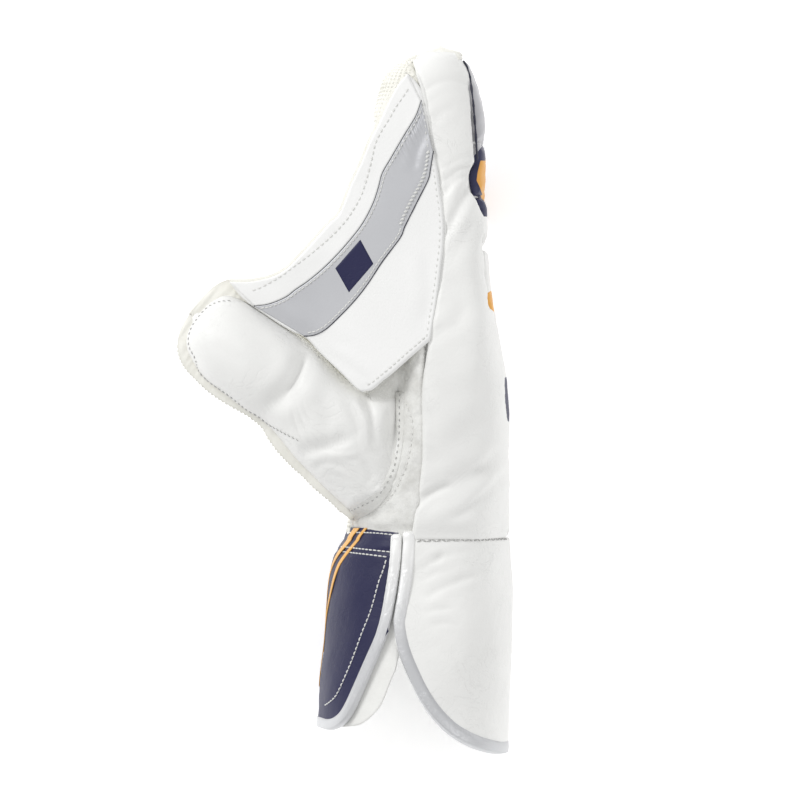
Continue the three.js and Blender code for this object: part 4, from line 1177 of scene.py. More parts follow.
def build_thumb():
    """Puffed leather back of the thumb."""
    q = np.concatenate([np.linspace(0, 0.12, 20)[:-1], np.linspace(0.12, 1, 116)])
    along = THUMB_START + THUMB_SPAN * q
    c = np.sin(np.linspace(-1, 1, 80) * math.pi / 2)
    A, C = np.meshgrid(along, c, indexing="ij")
    lo, hi = read(THUMB, "low", A), read(THUMB, "high", A)
    centre = read(THUMB, "centre", A) * HAND_BREADTH
    half = read(THUMB, "half", A) * THUMB_THICKNESS / 2
    xy = thumb_xy(A, (lo + hi) / 2 + C * (hi - lo) / 2)
    profile = np.maximum(1 - np.abs(C) ** THUMB_POWER, 0) ** (1 / THUMB_POWER)
    z = centre + 0.8 + (half + 0.6) * profile
    d = edge_distance(np.concatenate([xy, z[..., None]], -1))
    seam_d = edge_distance(np.concatenate([xy, 0 * z[..., None]], -1))
    pucker = np.sin(A * THUMB_LENGTH / 3.1 * 2 * math.pi / 1.6 + 2 * ripple(xy, 25.0, 7))
    pucker = 0.5 * pucker * np.exp(-(d / 6) ** 2)
    z = z + folds(xy, THUMB_FOLDS) * ease(0, 6, seam_d) + 0.5 * ripple(xy, 34.0, 12) * ease(0, 8, d)
    z = z + pucker * (C < 0)
    floor = gusset_height(xy) + 3.3 + 1.5 * rounded(seam_d, 3.5)
    z = np.where(floor > 50, MEET_SOFT * np.logaddexp(z / MEET_SOFT, floor / MEET_SOFT), z)
    outer = np.concatenate([xy, z[..., None]], -1)
    n = normals(outer, away=np.array([0, 0, 1.0]))
    inner = outer - n * THUMB_LEATHER
    thin = outer - n * THUMB_EDGE
    inner[0], inner[-1] = thin[0], thin[-1]
    inner[:, 0], inner[:, -1] = thin[:, 0], thin[:, -1]
    tip = np.append(THUMB_AXIS, -0.6)
    outer, inner = close_end(outer, tip * 1.6), close_end(inner, tip * 1.0)
    shell("thumb_leather", outer, inner, WHITE_SOFT, "white_leather")


build_thumb()


# Where the rubber front of the thumb ends and over what length it draws in, in shares of the thumb's
RIM_END = 1.032
RIM_TAPER = 0.13
# Where its drawn skin starts, and how long that is, in the same shares
RIM_START = -0.07
RIM_SPAN = 1.096


def rim_surface(along, v, grow=0.0):
    """The rubber front of the thumb: down one side from the rim, under it and up the other."""
    lo, hi = read(THUMB_RIM, "low", along), read(THUMB_RIM, "high", along)
    centre = read(THUMB, "centre", np.clip(along, -0.1, 0.99)) * HAND_BREADTH
    half = read(THUMB, "half", np.clip(along, -0.1, 0.9)) * THUMB_THICKNESS / 2 + 2.0
    half = half * np.sqrt(np.clip((RIM_END - along) / RIM_TAPER, 0.02, 1))
    turn = math.pi * (-v)
    a, b = arc(turn, RIM_POWER)
    middle, reach = (lo + hi) / 2, (hi - lo) / 2 + grow / (THUMB_BREADTH / 2)
    xy = thumb_xy_flat(along, middle + a * reach)
    return stack(xy[..., 0], xy[..., 1], centre + b * (half + grow))


def thumb_xy_flat(along, across):
    """As thumb_xy, for shares whose shapes differ but fit."""
    x = THUMB_ROOT[0] + along * THUMB_LENGTH * THUMB_AXIS[0] + across * THUMB_BREADTH / 2 * THUMB_SIDE[0]
    y = THUMB_ROOT[1] + along * THUMB_LENGTH * THUMB_AXIS[1] + across * THUMB_BREADTH / 2 * THUMB_SIDE[1]
    return np.stack([x, y], -1)


def build_rim():
    """Rubber front of the thumb, with the lips in which the leather back lies."""
    along = RIM_START + RIM_SPAN * np.sin(np.linspace(0, 1, 106) * math.pi / 2)
    v = np.linspace(0, 1, 62)
    A, V = np.meshgrid(along, v, indexing="ij")
    body = rim_surface(A, V)
    lo, hi = read(THUMB_RIM, "low", along), read(THUMB_RIM, "high", along)
    seam_lo = read(THUMB, "low", np.minimum(along, 0.992)) + 0.1
    seam_hi = read(THUMB, "high", np.minimum(along, 0.992)) - 0.1
    centre = read(THUMB, "centre", np.clip(along, -0.1, 0.99)) * HAND_BREADTH
    t = np.linspace(0, 1, 12)[:-1]

    def lip(edge, seam):
        """The strip between the rubber's edge and the leather's seam."""
        met = ease(0.984, 0.998, along)
        seam = seam * (1 - met) + (-0.16 - 0.03 * np.sign(edge - seam)) * met
        across = seam[:, None] * (1 - t) + edge[:, None] * t
        xy = thumb_xy_flat(along[:, None], across)
        pucker = np.sin(along * THUMB_LENGTH * 2.0 + 2.5 * np.sin(along * 17) + 1.7 * np.sin(along * 41 + 1))
        wave = 0.2 * pucker[:, None] * np.sin(t * math.pi)
        z = centre[:, None] + 0.3 + 2.2 * rounded(1 - t, 0.9) + wave
        return stack(xy[..., 0], xy[..., 1], z)

    first, last = lip(hi, seam_hi), lip(lo, seam_lo)[:, ::-1]
    body[..., 2] += 1.2 * np.exp(-(np.minimum(V, 1 - V) / 0.04) ** 2)
    grid = np.concatenate([first, body, last], axis=1)
    inner = grid.copy()
    middle = thumb_xy_flat(along, (lo + hi) / 2)
    towards = stack(middle[:, None, 0], middle[:, None, 1], centre[:, None] + 0 * grid[..., 0]) - grid
    inner += towards * 0.16
    tip = np.append(THUMB_AXIS, 0)
    grid, inner = close_end(grid, tip * 0.6), close_end(inner, tip * 0.3)
    shell("thumb_rubber", grid, inner, CREAM, "catching_rubber")
    # the closed end of the rubber, under the meeting lips
    A, T = np.meshgrid(np.linspace(0.88, 1.02, 26), np.linspace(0, 2 * math.pi, 49)[:-1], indexing="ij")
    lo, hi = read(THUMB_RIM, "low", A), read(THUMB_RIM, "high", A)
    a, b = arc(T, RIM_POWER)
    deep = 0.34 * THUMB_THICKNESS * np.sqrt(np.clip((RIM_END - A) / RIM_TAPER, 0.02, 1))
    rise = np.where(b > 0, 2.1 * b, 0.9 * deep * b)
    middle = (lo + hi) / 2

    def nose(share):
        xy = thumb_xy_flat(A, middle + a * (hi - lo) / 2 * share)
        return stack(xy[..., 0], xy[..., 1], 0.85 * HAND_BREADTH + rise * share)

    shell("thumb_tip_rubber", close_end(nose(0.93), tip * 0.5), close_end(nose(0.8), tip * 0.2), CREAM,
          "catching_rubber", wrap=True)
    pimples("thumb_pimples", rim_surface, (-0.02, 0.99), CREAM, "catching_rubber",
            keep=lambda c: c[2] < 103)


build_rim()

# Gusset between thumb and hand


GUSSET_FOLDS = [
    ([(402, 395), (404, 430), (402, 455), (394, 480), (382, 500)], 0.5, 1.2),
    ([(413, 430), (411, 455), (402, 480), (390, 502)], 0.4, 1.0),
    ([(352, 516), (366, 514), (384, 512), (402, 506)], 0.7, 2.0),
]
GUSSET_ROOT = side_view([(344, 513), (361, 505), (376, 497), (389, 479), (395, 455), (398, 425)])
FOLD_BY_PANEL = side_view([(418, 398), (424, 372), (432, 340), (436, 322)])
FOLD_BY_THUMB = side_view([(372, 402), (366, 388), (362, 372), (360, 352)])
FOLD_ROWS = 30


def build_gusset():
    """Suede between the thumb and the hand."""
    y = np.linspace(0.6, 99, 96)
    a1 = np.clip(side_share(edge_at(PANEL_PALM_EDGE, y) + 1.2, y), -0.9, 0.9)
    upper = np.arccos(np.clip(np.sign(a1) * np.abs(a1) ** (HAND_POWER / 2), -1, 1))
    lower = np.full_like(y, math.pi - 0.14)
    v = spread(0, 1, 66)
    turn = upper[:, None] * (1 - v) + lower[:, None] * v
    base = hand_surface(y[:, None] + 0 * v, turn, 0.4)
    n = normals(base, away=np.array([0, 0, 1.0]))
    d = edge_distance(base)
    thick = 2.2 * rounded(d, 1.6) + 0.35 * ripple(base, 11.0, 21) + 0.25 * ripple(base, 5.0, 22)
    thick = thick + folds(base[..., :2], GUSSET_FOLDS)
    root = spline(GUSSET_ROOT, 1.0)
    away = np.sqrt(((base[..., None, :2] - root) ** 2).sum(-1).min(-1))
    high = np.where(base[..., 2] > 50, np.maximum(87 - base[..., 2], 0), 0) * np.exp(-(away / 8.5) ** 2)
    high = high * ease(0, 6, base[..., 1] - 1.5)
    thick = thick * (0.1 + 0.9 * ease(4.0, 9.0, base[..., 1]))
    outer = base + n * np.maximum(thick, 0.1)[..., None]
    outer[..., 2] += high
    base[..., 2] += high
    shell("gusset_suede", outer, base, SUEDE, "suede")
    # the strip of gusset that runs under the web's free corner to the thumb
    t = np.linspace(0, 1, 24)
    near = resample(spline(FOLD_BY_PANEL, 1.0), FOLD_ROWS)
    far = resample(spline(FOLD_BY_THUMB, 1.0), FOLD_ROWS)
    xy = near[:, None] * (1 - t)[:, None] + far[:, None] * t[:, None]
    z = web_height(xy, -7.5) - 3.5 * np.sin(t * math.pi)[None] + 0.5 * ripple(xy, 9.0, 23)
    ground = Drape("thumb_leather", "gusset_suede").at(xy[0])[0][:, 2] - 0.4
    meet = ease(0, 0.45, np.linspace(0, 1, FOLD_ROWS))[:, None]
    z = ground * (1 - meet) + z * meet
    top = np.concatenate([xy, z[..., None]], -1)
    shell("gusset_fold", top, top - np.array([0, 0, 1.6]), SUEDE, "suede")


build_gusset()

# Web


def patch(bottom, right, top, left, nu, nv):
    """A grid spanning four lines that meet at their ends: bottom and top run along u."""
    b, t = resample(bottom, nu), resample(top, nu)
    l, r = resample(left, nv), resample(right, nv)
    u, v = np.linspace(0, 1, nu)[:, None, None], np.linspace(0, 1, nv)[None, :, None]
    return ((1 - v) * b[:, None] + v * t[:, None] + (1 - u) * l[None] + u * r[None]
            - ((1 - u) * (1 - v) * b[0] + u * (1 - v) * b[-1] + (1 - u) * v * t[0] + u * v * t[-1]))


def web_shape(xy):
    """Height of the web's leather: it falls to the thumb, swells a little and dips at the thumb's seam."""
    seam = spline(WEB_THUMB, 2.0)
    d = np.sqrt(((xy[..., None, :] - seam) ** 2).sum(-1).min(-1))
    return web_height(xy) - 1.6 * np.exp(-(d / 5.0) ** 2) + 0.5 * ripple(xy, 70.0, 31)


WEB_FOLDS = [
    ([(330, 352), (352, 368), (372, 384)], 0.4, 2.5),
    ([(424, 250), (430, 290), (424, 330)], 0.6, 3.5),
    ([(300, 322), (330, 340), (356, 352)], 0.3, 4.0),
]
PATCH_SIDE_LOW = side_view([(335.4, 268.5), (360.4, 240.0)])
PATCH_SIDE_HIGH = side_view([(349.0, 292.5), (373.5, 264.0)])


def build_web():
    """Leather and rubber of the web, its fold and its grey band."""
    catch = spline(WEB_EDGE, 1.5)
    seam = spline(WEB_SEAM, 1.5)
    hem = spline(WEB_HEM, 1.5)
    thumb = spline(WEB_THUMB, 1.5)
    rows, across = 120, 80
    xy = patch(catch, seam, hem[::-1], thumb[::-1], rows, across)
    z = web_shape(xy) + folds(xy, WEB_FOLDS)
    top = np.concatenate([xy, z[..., None]], -1)
    d = edge_distance(top)
    top[..., 2] += -1.4 + 1.4 * rounded(d, 1.8)
    under = top - np.array([0, 0, 1.0]) * (0.3 + 2.4 * rounded(d, 1.8))[..., None]
    shell("web_leather", top, under, WHITE_FLAT, "white_leather")

    # rubber under the web, which shows as a rim beyond the catching edge
    rim = resample(catch, rows)
    out = np.gradient(rim, axis=0)
    out = np.stack([-out[:, 1], out[:, 0]], -1)
    out /= np.linalg.norm(out, axis=1, keepdims=True)
    xy2 = xy.copy()
    grow = np.linspace(1, 0, across)[None, :, None] ** 4
    xy2 += out[:, None] * 1.4 * grow
    z2 = web_shape(xy2) - 3.2
    face = np.concatenate([xy2, z2[..., None]], -1)
    d2 = edge_distance(face)
    lift = (0.2 + 1.8 * rounded(d2, 1.4))[..., None] * np.array([0, 0, 1.0])
    wave = 0.25 * np.sin(np.linspace(0, 195, rows))[:, None] * grow[..., 0]
    face[..., 2] += wave
    swell = np.array([0, 0, 0.6]) * rounded(d2, 1.4)[..., None]
    shell("web_rubber", face + swell, face - lift, CREAM, "catching_rubber")
    grid = resample_grid(face - np.array([0, 0, 2.0]))
    pimples("web_pimples", grid, (0.01, 0.99), CREAM, "catching_rubber", down=True)

    # leather folded over the catching edge, and the grey band
    band("web_fold", resample(catch, 160), resample(spline(STRIPE_UPPER, 1.5)[::-1], 160), 0.1, 1.5,
         WHITE_FLAT, "white_leather", pull=0.4)
    band("web_grey_band", resample(spline(STRIPE_UPPER, 1.5)[::-1], 290),
         resample(spline(STRIPE_LOWER, 1.5)[::-1], 290), 0.1, 0.9, GREY, "grey_band", pull=0.15, crumple=0.5)


def resample_grid(points):
    """A surface in (u, v) from a grid of points."""
    nu, nv = points.shape[:2]

    def surface(u, v):
        fu, fv = np.clip(u, 0, 1) * (nu - 1), np.clip(v, 0, 1) * (nv - 1)
        i, j = np.minimum(fu.astype(int), nu - 2), np.minimum(fv.astype(int), nv - 2)
        a, b = (fu - i)[..., None], (fv - j)[..., None]
        return ((points[i, j] * (1 - a) + points[i + 1, j] * a) * (1 - b)
                + (points[i, j + 1] * (1 - a) + points[i + 1, j + 1] * a) * b)
    return surface


BAND_FOLDS = [([(427, 128), (421, 142), (416, 158), (417, 172)], 0.6, 2.4),
              ([(431, 146), (426, 160), (424, 174)], 0.35, 1.5),
              ([(421, 112), (416, 124), (408, 138)], 0.45, 1.2)]


def band(name, one, two, foot, thick, skin, slot, pull=0.0, crumple=0.0):
    """A strip of leather laid on the web between two lines."""
    t = spread(0, 1, 54 if crumple else 28)
    xy = one[:, None] * (1 - t)[:, None] + two[:, None] * t[:, None]
    z = web_shape(xy) + foot
    base = np.concatenate([xy, z[..., None]], -1)
    d = edge_distance(base)
    rise = thick * rounded(d, 0.9) + 0.3 * pull * ripple(xy, 16.0, 41) * ease(0, 4, d)
    if crumple:
        ends = np.exp(-((xy[..., 1] - 192) / 15) ** 2)
        along = np.linspace(0, 1, len(one))[:, None] * length_of(one)
        across = t[None] * (1 - t[None]) * 4
        pucker = np.sin(along * 1.9 + 1.3 * np.sin(along * 0.31)) * np.exp(-(t[None] / 0.3) ** 2)
        rise = rise + (crumple * ends * pucker + folds(xy, BAND_FOLDS)) * ease(0, 1.5, d) * across ** 0.2
    shell(name, base + np.array([0, 0, 1.0]) * rise[..., None], base - np.array([0, 0, 0.6]), skin, slot)


build_web()
band("web_patch", resample(PATCH_SIDE_LOW, 24), resample(PATCH_SIDE_HIGH, 24), 1.05, 0.3, NAVY,
     "navy_leather")

# Cuff

BACK_EDGE = np.array([
    (-0.3, 0.03), (-0.3, 0.0), (-0.307, -0.093), (-0.324, -0.21), (-0.357, -0.35), (-0.365, -0.43),
    (-0.331, -0.523), (-0.259, -0.64), (-0.197, -0.733), (-0.109, -0.822), (-0.011, -0.892),
    (0.107, -0.944), (0.224, -0.979), (0.33, -1.0)]) * [HAND_DEPTH, CUFF_LENGTH]
PALM_EDGE = np.array([
    (-0.318, 0.06), (-0.324, 0.0), (-0.337, -0.135), (-0.385, -0.35), (-0.405, -0.43),
    (-0.455, -0.5), (-0.533, -0.626), (-0.605, -0.738), (-0.65, -0.804), (-0.705, -0.855),
    (-0.78, -0.885), (-0.85, -0.878)]) * [HAND_DEPTH, CUFF_LENGTH]
LINING_EDGE = np.array([
    (-0.318, 0.03), (-0.324, 0.0), (-0.336, -0.135), (-0.37, -0.36), (-0.335, -0.505),
    (-0.36, -0.589), (-0.41, -0.668), (-0.458, -0.752), (-0.512, -0.808), (-0.612, -0.862),
    (-0.72, -0.875)]) * [HAND_DEPTH, CUFF_LENGTH]


def tongue(edge, direction, top_y=0.0, nu=80, nv=86, grow=0.0, hidden=0.0):
    """A grid over one tongue of the cuff, from the wrist to its free edge; hidden draws in its far side."""
    line = spline(edge, 1.0)
    y = line[:, 1]
    middle = math.pi if direction < 0 else 0.0
    test = np.linspace(0, math.pi, 721)
    reach = []
    for x_e, y_e in line:
        xs = cuff_surface(np.array(y_e), test if direction > 0 else math.pi - test)[..., 0]
        over = (xs - x_e) * direction
        i = np.argmax(over < 0) if np.any(over < 0) else len(test) - 1
        reach.append(test[i])
    reach = np.array(reach)
    # the widest reach above the turn, then the free edge below it
    turn_at = int(np.argmax(reach * (y < -0.3 * CUFF_LENGTH)))
    v = np.linspace(-1, 1, nv)
    wide = reach[turn_at]
    lowest_y = np.interp(np.abs(v) * wide, reach[turn_at:][::-1], y[turn_at:][::-1])
    u = np.linspace(0, 1, nu)[:, None]
    Y = top_y + u * (lowest_y[None] - top_y)
    order = np.argsort(y[:turn_at + 1])
    side = np.interp(np.clip(Y, y[turn_at], None), y[:turn_at + 1][order], reach[:turn_at + 1][order])
    blend = np.abs(v)[None] ** 3
    T = middle + v[None] * (wide * (1 - blend) + side * blend)
    T *= 1 - hidden * ease(0.2, 0.9, -v)[None] * ease(28, 44, -Y)
    return cuff_surface(Y, T, grow), Y, T


def binding_path(p, n):
    """The free edge of a tongue, from the wrist down one side, round and up the other."""
    path = np.concatenate([p[:-1, 0], p[-1], p[:-1, -1][::-1]])
    ups = np.concatenate([n[:-1, 0], n[-1], n[:-1, -1][::-1]])
    return path, ups


def sweep(name, path, ups, inward, profile, skin, slot):
    """Runs a closed profile (inward, up) along a path."""
    inward = inward / np.linalg.norm(inward, axis=1, keepdims=True)
    along = np.concatenate([[0], np.cumsum(np.linalg.norm(np.diff(path, axis=0), axis=1))])
    full = 0.3 + 0.7 * rounded(np.minimum(along, along[-1] - along), 2.0)
    middle = profile.mean(axis=0)
    cut = middle + (profile - middle) * full[:, None, None]
    verts = path[:, None] + inward[:, None] * cut[..., :1] + ups[:, None] * cut[..., 1:]
    sides = len(profile)
    faces = quads(len(path), sides, wrap=True)
    faces.append(tuple(range(sides))[::-1])
    last = (len(path) - 1) * sides
    faces.append(tuple(last + j for j in range(sides)))
    flat = verts.reshape(-1, 3)
    flat[:, 2] = np.maximum(flat[:, 2], PIECE_GAP)
    return make(name, flat, faces, skin, slot)


BIND_TOPS = np.array([0, 0.2, 0.6, 1.2, 2.0])


def bind(name, p, n, low, high, width, top, skin, slot):
    """The binding of a tongue's edge; both its ends come up to the height top."""
    path, ups = binding_path(p, n)
    inward = np.concatenate([p[:-1, 3], p[-4], p[:-1, -4][::-1]]) - path
    path, ups = soft(path, 3), soft(ups, 6)
    below = path[:, 1] < top - BIND_TOPS[-1] - 0.5
    more = len(BIND_TOPS)
    path, ups, inward = (np.concatenate([np.repeat(v[below][:1], more, 0), v[below],
                                         np.repeat(v[below][-1:], more, 0)]) for v in (path, ups, inward))
    path[:more, 1] = top - BIND_TOPS
    path[-more:, 1] = top - BIND_TOPS[::-1]
    ups /= np.linalg.norm(ups, axis=1, keepdims=True)
    along = np.gradient(path, axis=0)
    along /= np.linalg.norm(along, axis=1, keepdims=True)
    side = np.cross(ups, along)
    side *= np.sign((side * inward).sum())
    side = soft(side, 8)
    r = (high - low) / 2
    turn = np.linspace(math.pi / 2, 3 * math.pi / 2, 12)
    nose = np.stack([0.4 + 1.1 * np.cos(turn), (low + high) / 2 + r * np.sin(turn)], -1)
    over = [(width, high - 0.9), (width - 0.3, high - 0.1), (width * 0.5, high + 0.15)]
    under = [(width * 0.5, low - 0.1), (width - 0.3, low + 0.1), (width, low + 0.9)]
    profile = np.concatenate([over, nose, under])
    return sweep(name, path, ups, side, profile, skin, slot)


# How far inside the cuff's surface the white tongue's inner side is
BACK_CUFF_DEPTH = 5.6
# The navy leather's top, and how far it is tucked in there
TUCK_TOP = 5.6
TUCK = 1.6
CUFF_FOLDS = [
    ([(416, 573), (430, 563), (446, 554)], 0.75, 1.7),
    ([(418, 581), (430, 574), (440, 567)], 0.55, 1.5),
    ([(422, 597), (444, 586), (468, 577), (480, 575)], 0.75, 1.9),
    ([(412, 616), (432, 609), (458, 606)], 0.5, 1.6),
    ([(428, 624), (446, 622), (462, 625)], 0.4, 1.6),
    ([(430, 560), (455, 552), (476, 549)], 0.5, 2.2),
    ([(470, 620), (480, 660), (484, 700)], 0.5, 6.0),
    ([(420, 640), (440, 650), (462, 655)], 0.35, 4.0),
]


def build_back_cuff():
    """White tongue of the cuff."""
    p, Y, T = tongue(BACK_EDGE, 1, top_y=0.5, nu=84, nv=126, hidden=0.08)
    n = cuff_ups(Y, T)
    d = edge_distance(p, "ve")
    top = edge_distance(p, "s")
    push = folds(p[..., :2], CUFF_FOLDS) * (p[..., 2] > 55)
    wave = 0.45 * ripple(p, 55.0, 51) + 0.12 * ripple(p, 14.0, 52)
    pressed = 0.3 * np.exp(-top ** 2)
    outer = p + n * ((push + wave) * ease(0, 8, d) * ease(0, 6, top) - pressed + 0.3)[..., None]
    inner = p - n * (BACK_CUFF_DEPTH + 0.3 * ripple(p, 30.0, 53))[..., None]
    outer[..., 2] = np.maximum(outer[..., 2], PIECE_GAP)
    inner[..., 2] = np.maximum(inner[..., 2], 0.5)
    shell("back_cuff_leather", outer, inner, WHITE, "white_leather")
    bind("back_cuff_edge", p, n, -6.3, 0.9, 5.4, 4.5, SILVER, "silver_binding")


# How far out of the cuff's surface the lining's outer side is, and what it gains in thickness
LINING_GROW = -3.2
LINING_THICK = 5.2


def build_palm_cuff():
    """Navy tongue of the cuff and the padding behind it."""
    p, Y, T = tongue(PALM_EDGE, -1, top_y=TUCK_TOP, nu=106)
    n = cuff_ups(Y, T)
    d = edge_distance(p, "ve")
    wave = 0.4 * ripple(p, 60.0, 61) + 0.1 * ripple(p, 16.0, 62)
    band_line = np.exp(-((Y + 5.4) / 1.1) ** 2)
    tuck = TUCK * ease(0, TUCK_TOP, Y)
    outer = p + n * (0.5 + wave * ease(0, 8, d) - 0.5 * band_line - tuck)[..., None]
    inner = p - n * (1.2 + 1.4 * ease(0, 6, d))[..., None]
    # the leather ends inside its binding
    shell("palm_cuff_leather", outer[:-1, 1:-1], inner[:-1, 1:-1], NAVY, "navy_leather")
    bind("palm_cuff_edge", p, n, -3.2, 1.1, 4.6, 3.0, SILVER, "silver_binding")
    q, Y, T = tongue(LINING_EDGE, -1, top_y=-0.5, nu=62, nv=74, grow=LINING_GROW)
    m = cuff_ups(Y, T, LINING_GROW)
    e = edge_distance(q, "ve")
    fat = 0.4 + LINING_THICK * rounded(e, 5.0) + 0.4 * ripple(q, 26.0, 63) * ease(0, 5, e)
    inner = q - m * fat[..., None]
    inner[..., 2] = np.maximum(inner[..., 2], 0.6)
    top = q.copy()
    top[..., 2] = np.maximum(top[..., 2], 0.4)
    shell("palm_cuff_padding", top, inner, LINING, "lining")


build_back_cuff()
build_palm_cuff()

# Stitches and trims

on_web = Drape("web_leather", "web_fold", "web_grey_band")
on_all = Drape("web_leather", "web_fold", "web_grey_band", "side_panel_leather", "thumb_leather",
               "thumb_rubber", "gusset_suede", "back_cuff_leather", "palm_cuff_leather",
               "palm_cuff_padding", "index_rubber", "gusset_fold", "hand_leather")


def seam(name, points, pitch, length, radius, skin=THREAD, on=None, lift=0.12, **more):
    """Stitches along a line of the side view, laid on the pieces under it."""
    line = spline(points, 1.0)
    path, ups = (on or on_all).at(line, lift)
    for k in range(3):
        path[:, k] = soft(path[:, k], 4)
    return stitches(name, path, ups, pitch, length, radius, skin, "white_leather", **more)


def aside(points, offset):
    """The line moved sideways by offset."""
    line = spline(points, 1.0)
    way = np.gradient(line, axis=0)
    way /= np.linalg.norm(way, axis=1, keepdims=True)
    return (line + np.stack([-way[:, 1], way[:, 0]], -1) * offset)[::4]


# Radii of the rolls
SIDE_PIPING = 1.15
FINGER_PIPING = 0.5

RIM_STITCH = side_view([
    (300, 441), (284, 433), (268, 424), (258, 416), (247, 410), (236, 401), (227, 394), (211, 383),
    (199, 372), (196, 359), (189, 346), (190, 332), (196, 321), (207, 308), (219, 302), (232, 301)])
CUFF_STITCH = side_view([(416, 541.2), (440, 540.6), (470, 540), (507, 539.6)])
WHIP_STITCH = side_view([
    (428, 150), (426, 168), (421.5, 182), (415.5, 193), (408, 207), (402.5, 219), (399, 229)])
CUFF_ROWS = [
    [(349, 533.3), (366, 533), (380, 533.6), (393, 535)],
    [(341, 547.4), (356, 548.6), (370, 550), (391, 552)],
    [(338, 552), (360, 554), (374, 555.4), (386.5, 557)],
    [(386.5, 558.5), (383, 571), (379, 581), (371, 610), (362, 633), (353, 658), (343, 682), (335, 698),
     (324, 707)],
]
PIPING_LINE = side_view([
    (462, 61), (466, 68), (469, 80), (470.5, 92), (472, 104), (473, 117), (474, 129), (475, 146), (476, 160)])

seam("fold_seam", FOLD_STITCH, 2.8, 1.9, 0.3, on=on_web)
seam("band_seam_upper", aside(STRIPE_UPPER, 1.4), 2.2, 1.8, 0.3, on=on_web, slant=0.08)
seam("band_seam_lower", aside(STRIPE_LOWER[5:], -1.4), 2.2, 1.8, 0.3, on=on_web, slant=0.08)
seam("hem_seam", aside(WEB_HEM, -2.8), 2.6, 1.8, 0.28, on=on_web)


def build_root_strip():
    """The suede strip that is sewn over the thumb's root."""
    base_line = spline(THUMB_BASE, 1.0)
    way = np.gradient(base_line, axis=0)
    way /= np.linalg.norm(way, axis=1, keepdims=True)
    way = np.stack([-way[:, 1], way[:, 0]], -1)
    far_side = 2.2 + 3.4 * ease(0.55, 1, np.linspace(0, 1, len(base_line)))[:, None]
    one, two = on_all.at(base_line - way * 2.0)[0], on_all.at(base_line + way * far_side)[0]
    for k in range(3):
        one[:, k], two[:, k] = soft(one[:, k], 10), soft(two[:, k], 10)
    t = np.linspace(0, 1, 14)[:, None]
    strip = one[:, None] * (1 - t) + two[:, None] * t
    d = edge_distance(strip)
    strip[..., 2] += 0.55 * rounded(d, 1.3) - 0.15
    shell("thumb_root_strip", strip, strip - np.array([0, 0, 1.2]), SUEDE, "suede")


build_root_strip()
seam("thumb_seam", THUMB_BASE, 3.0, 1.3, 0.3, SHADOW_THREAD, on=Drape("thumb_root_strip"))
seam("rim_seam", RIM_STITCH, 2.4, 1.5, 0.3, SHADOW_THREAD, whip=0.35)
seam("gusset_seam", GUSSET_STITCH, 2.9, 1.7, 0.3)
seam("cuff_seam", CUFF_STITCH, 2.3, 1.9, 0.34, SHADOW_THREAD, slant=0.35, lift=0.3)
seam("whip_seam", WHIP_STITCH, 2.0, 1.5, 0.6, whip=0.4, lift=0.25)
seam("panel_seam", aside(PANEL_PALM_EDGE[8:24], 1.5), 3.0, 1.4, 0.24, lift=0.05)

for name, line in (("band_line_upper", STRIPE_UPPER), ("band_line_lower", STRIPE_LOWER)):
    path, _ = on_web.at(spline(line, 1.0), 0.05)
    tube(name, path, 0.34, INK, "navy_leather", sides=6)

for k, row in enumerate(CUFF_ROWS):
    seam(f"cuff_row_{k}", side_view(row), 2.4, 1.95, 0.36)


def palm_cuff_turn(y, z):
    """Turn of the palm side of the cuff at height z."""
    top = read(CUFF, "top", -y / CUFF_LENGTH) * HAND_BREADTH
    b = (z - (top - PRESSED) / 2) / ((top + PRESSED) / 2)
    power = np.where(b > 0, CUFF_POWER, CUFF_FOOT_POWER)
    return math.pi - np.sign(b) * np.arcsin(np.clip(np.abs(b), 0, 1) ** (power / 2))


def stripe(name, rows):
    """A coloured strip laid on the palm cuff. rows: (y, height, width)."""
    rows = np.array(rows, float)
    t = np.linspace(0, 1, 160)
    s = np.linspace(0, 1, len(rows))
    y, z, width = (soft(np.interp(t, s, rows[:, k]), 60) for k in range(3))
    turn = palm_cuff_turn(y, z)
    mid = cuff_surface(y, turn, 0.9)
    eps = 1e-3
    across = cuff_surface(y, turn + eps, 0.9) - mid
    across /= np.linalg.norm(across, axis=1, keepdims=True)
    up = cuff_ups(y, turn, 0.9)
    mid = mid - up * (TUCK * ease(0, TUCK_TOP, y))[:, None]
    v = np.linspace(-0.5, 0.5, 9)
    grid = mid[:, None] + across[:, None] * (v[None, :, None] * width[:, None, None])
    lift = 0.08 * rounded(0.5 - np.abs(v), 0.15)[None, :, None]
    shell(name, grid + up[:, None] * lift, grid - up[:, None] * 0.35, ORANGE, "navy_leather")


stripe("cuff_stripe_broad", [(5.5, 86.3, 7.2), (2.8, 82.6, 7.6), (0, 80.2, 7.8), (-2.8, 80.0, 7.2),
                             (-5.6, 78.0, 6.6), (-8.5, 74.6, 5.6), (-16, 65, 4.8), (-28, 53, 4.2),
                             (-42, 40, 3.8), (-54, 29, 3.4)])
stripe("cuff_stripe_narrow", [(5.5, 94.6, 2.3), (2.8, 92.1, 2.8), (0, 90.4, 3.3), (-2.8, 90.0, 3.2),
                              (-5.6, 89.0, 3.4),
                              (-8.5, 86.4, 4.0), (-11.3, 83.5, 4.0), (-14.1, 81.4, 3.8), (-18.8, 78.6, 3.8),
                              (-23.5, 76.0, 3.6), (-28.2, 73.0, 3.4), (-42, 61, 3.0), (-56, 48, 2.8),
                              (-70, 36, 2.6)])


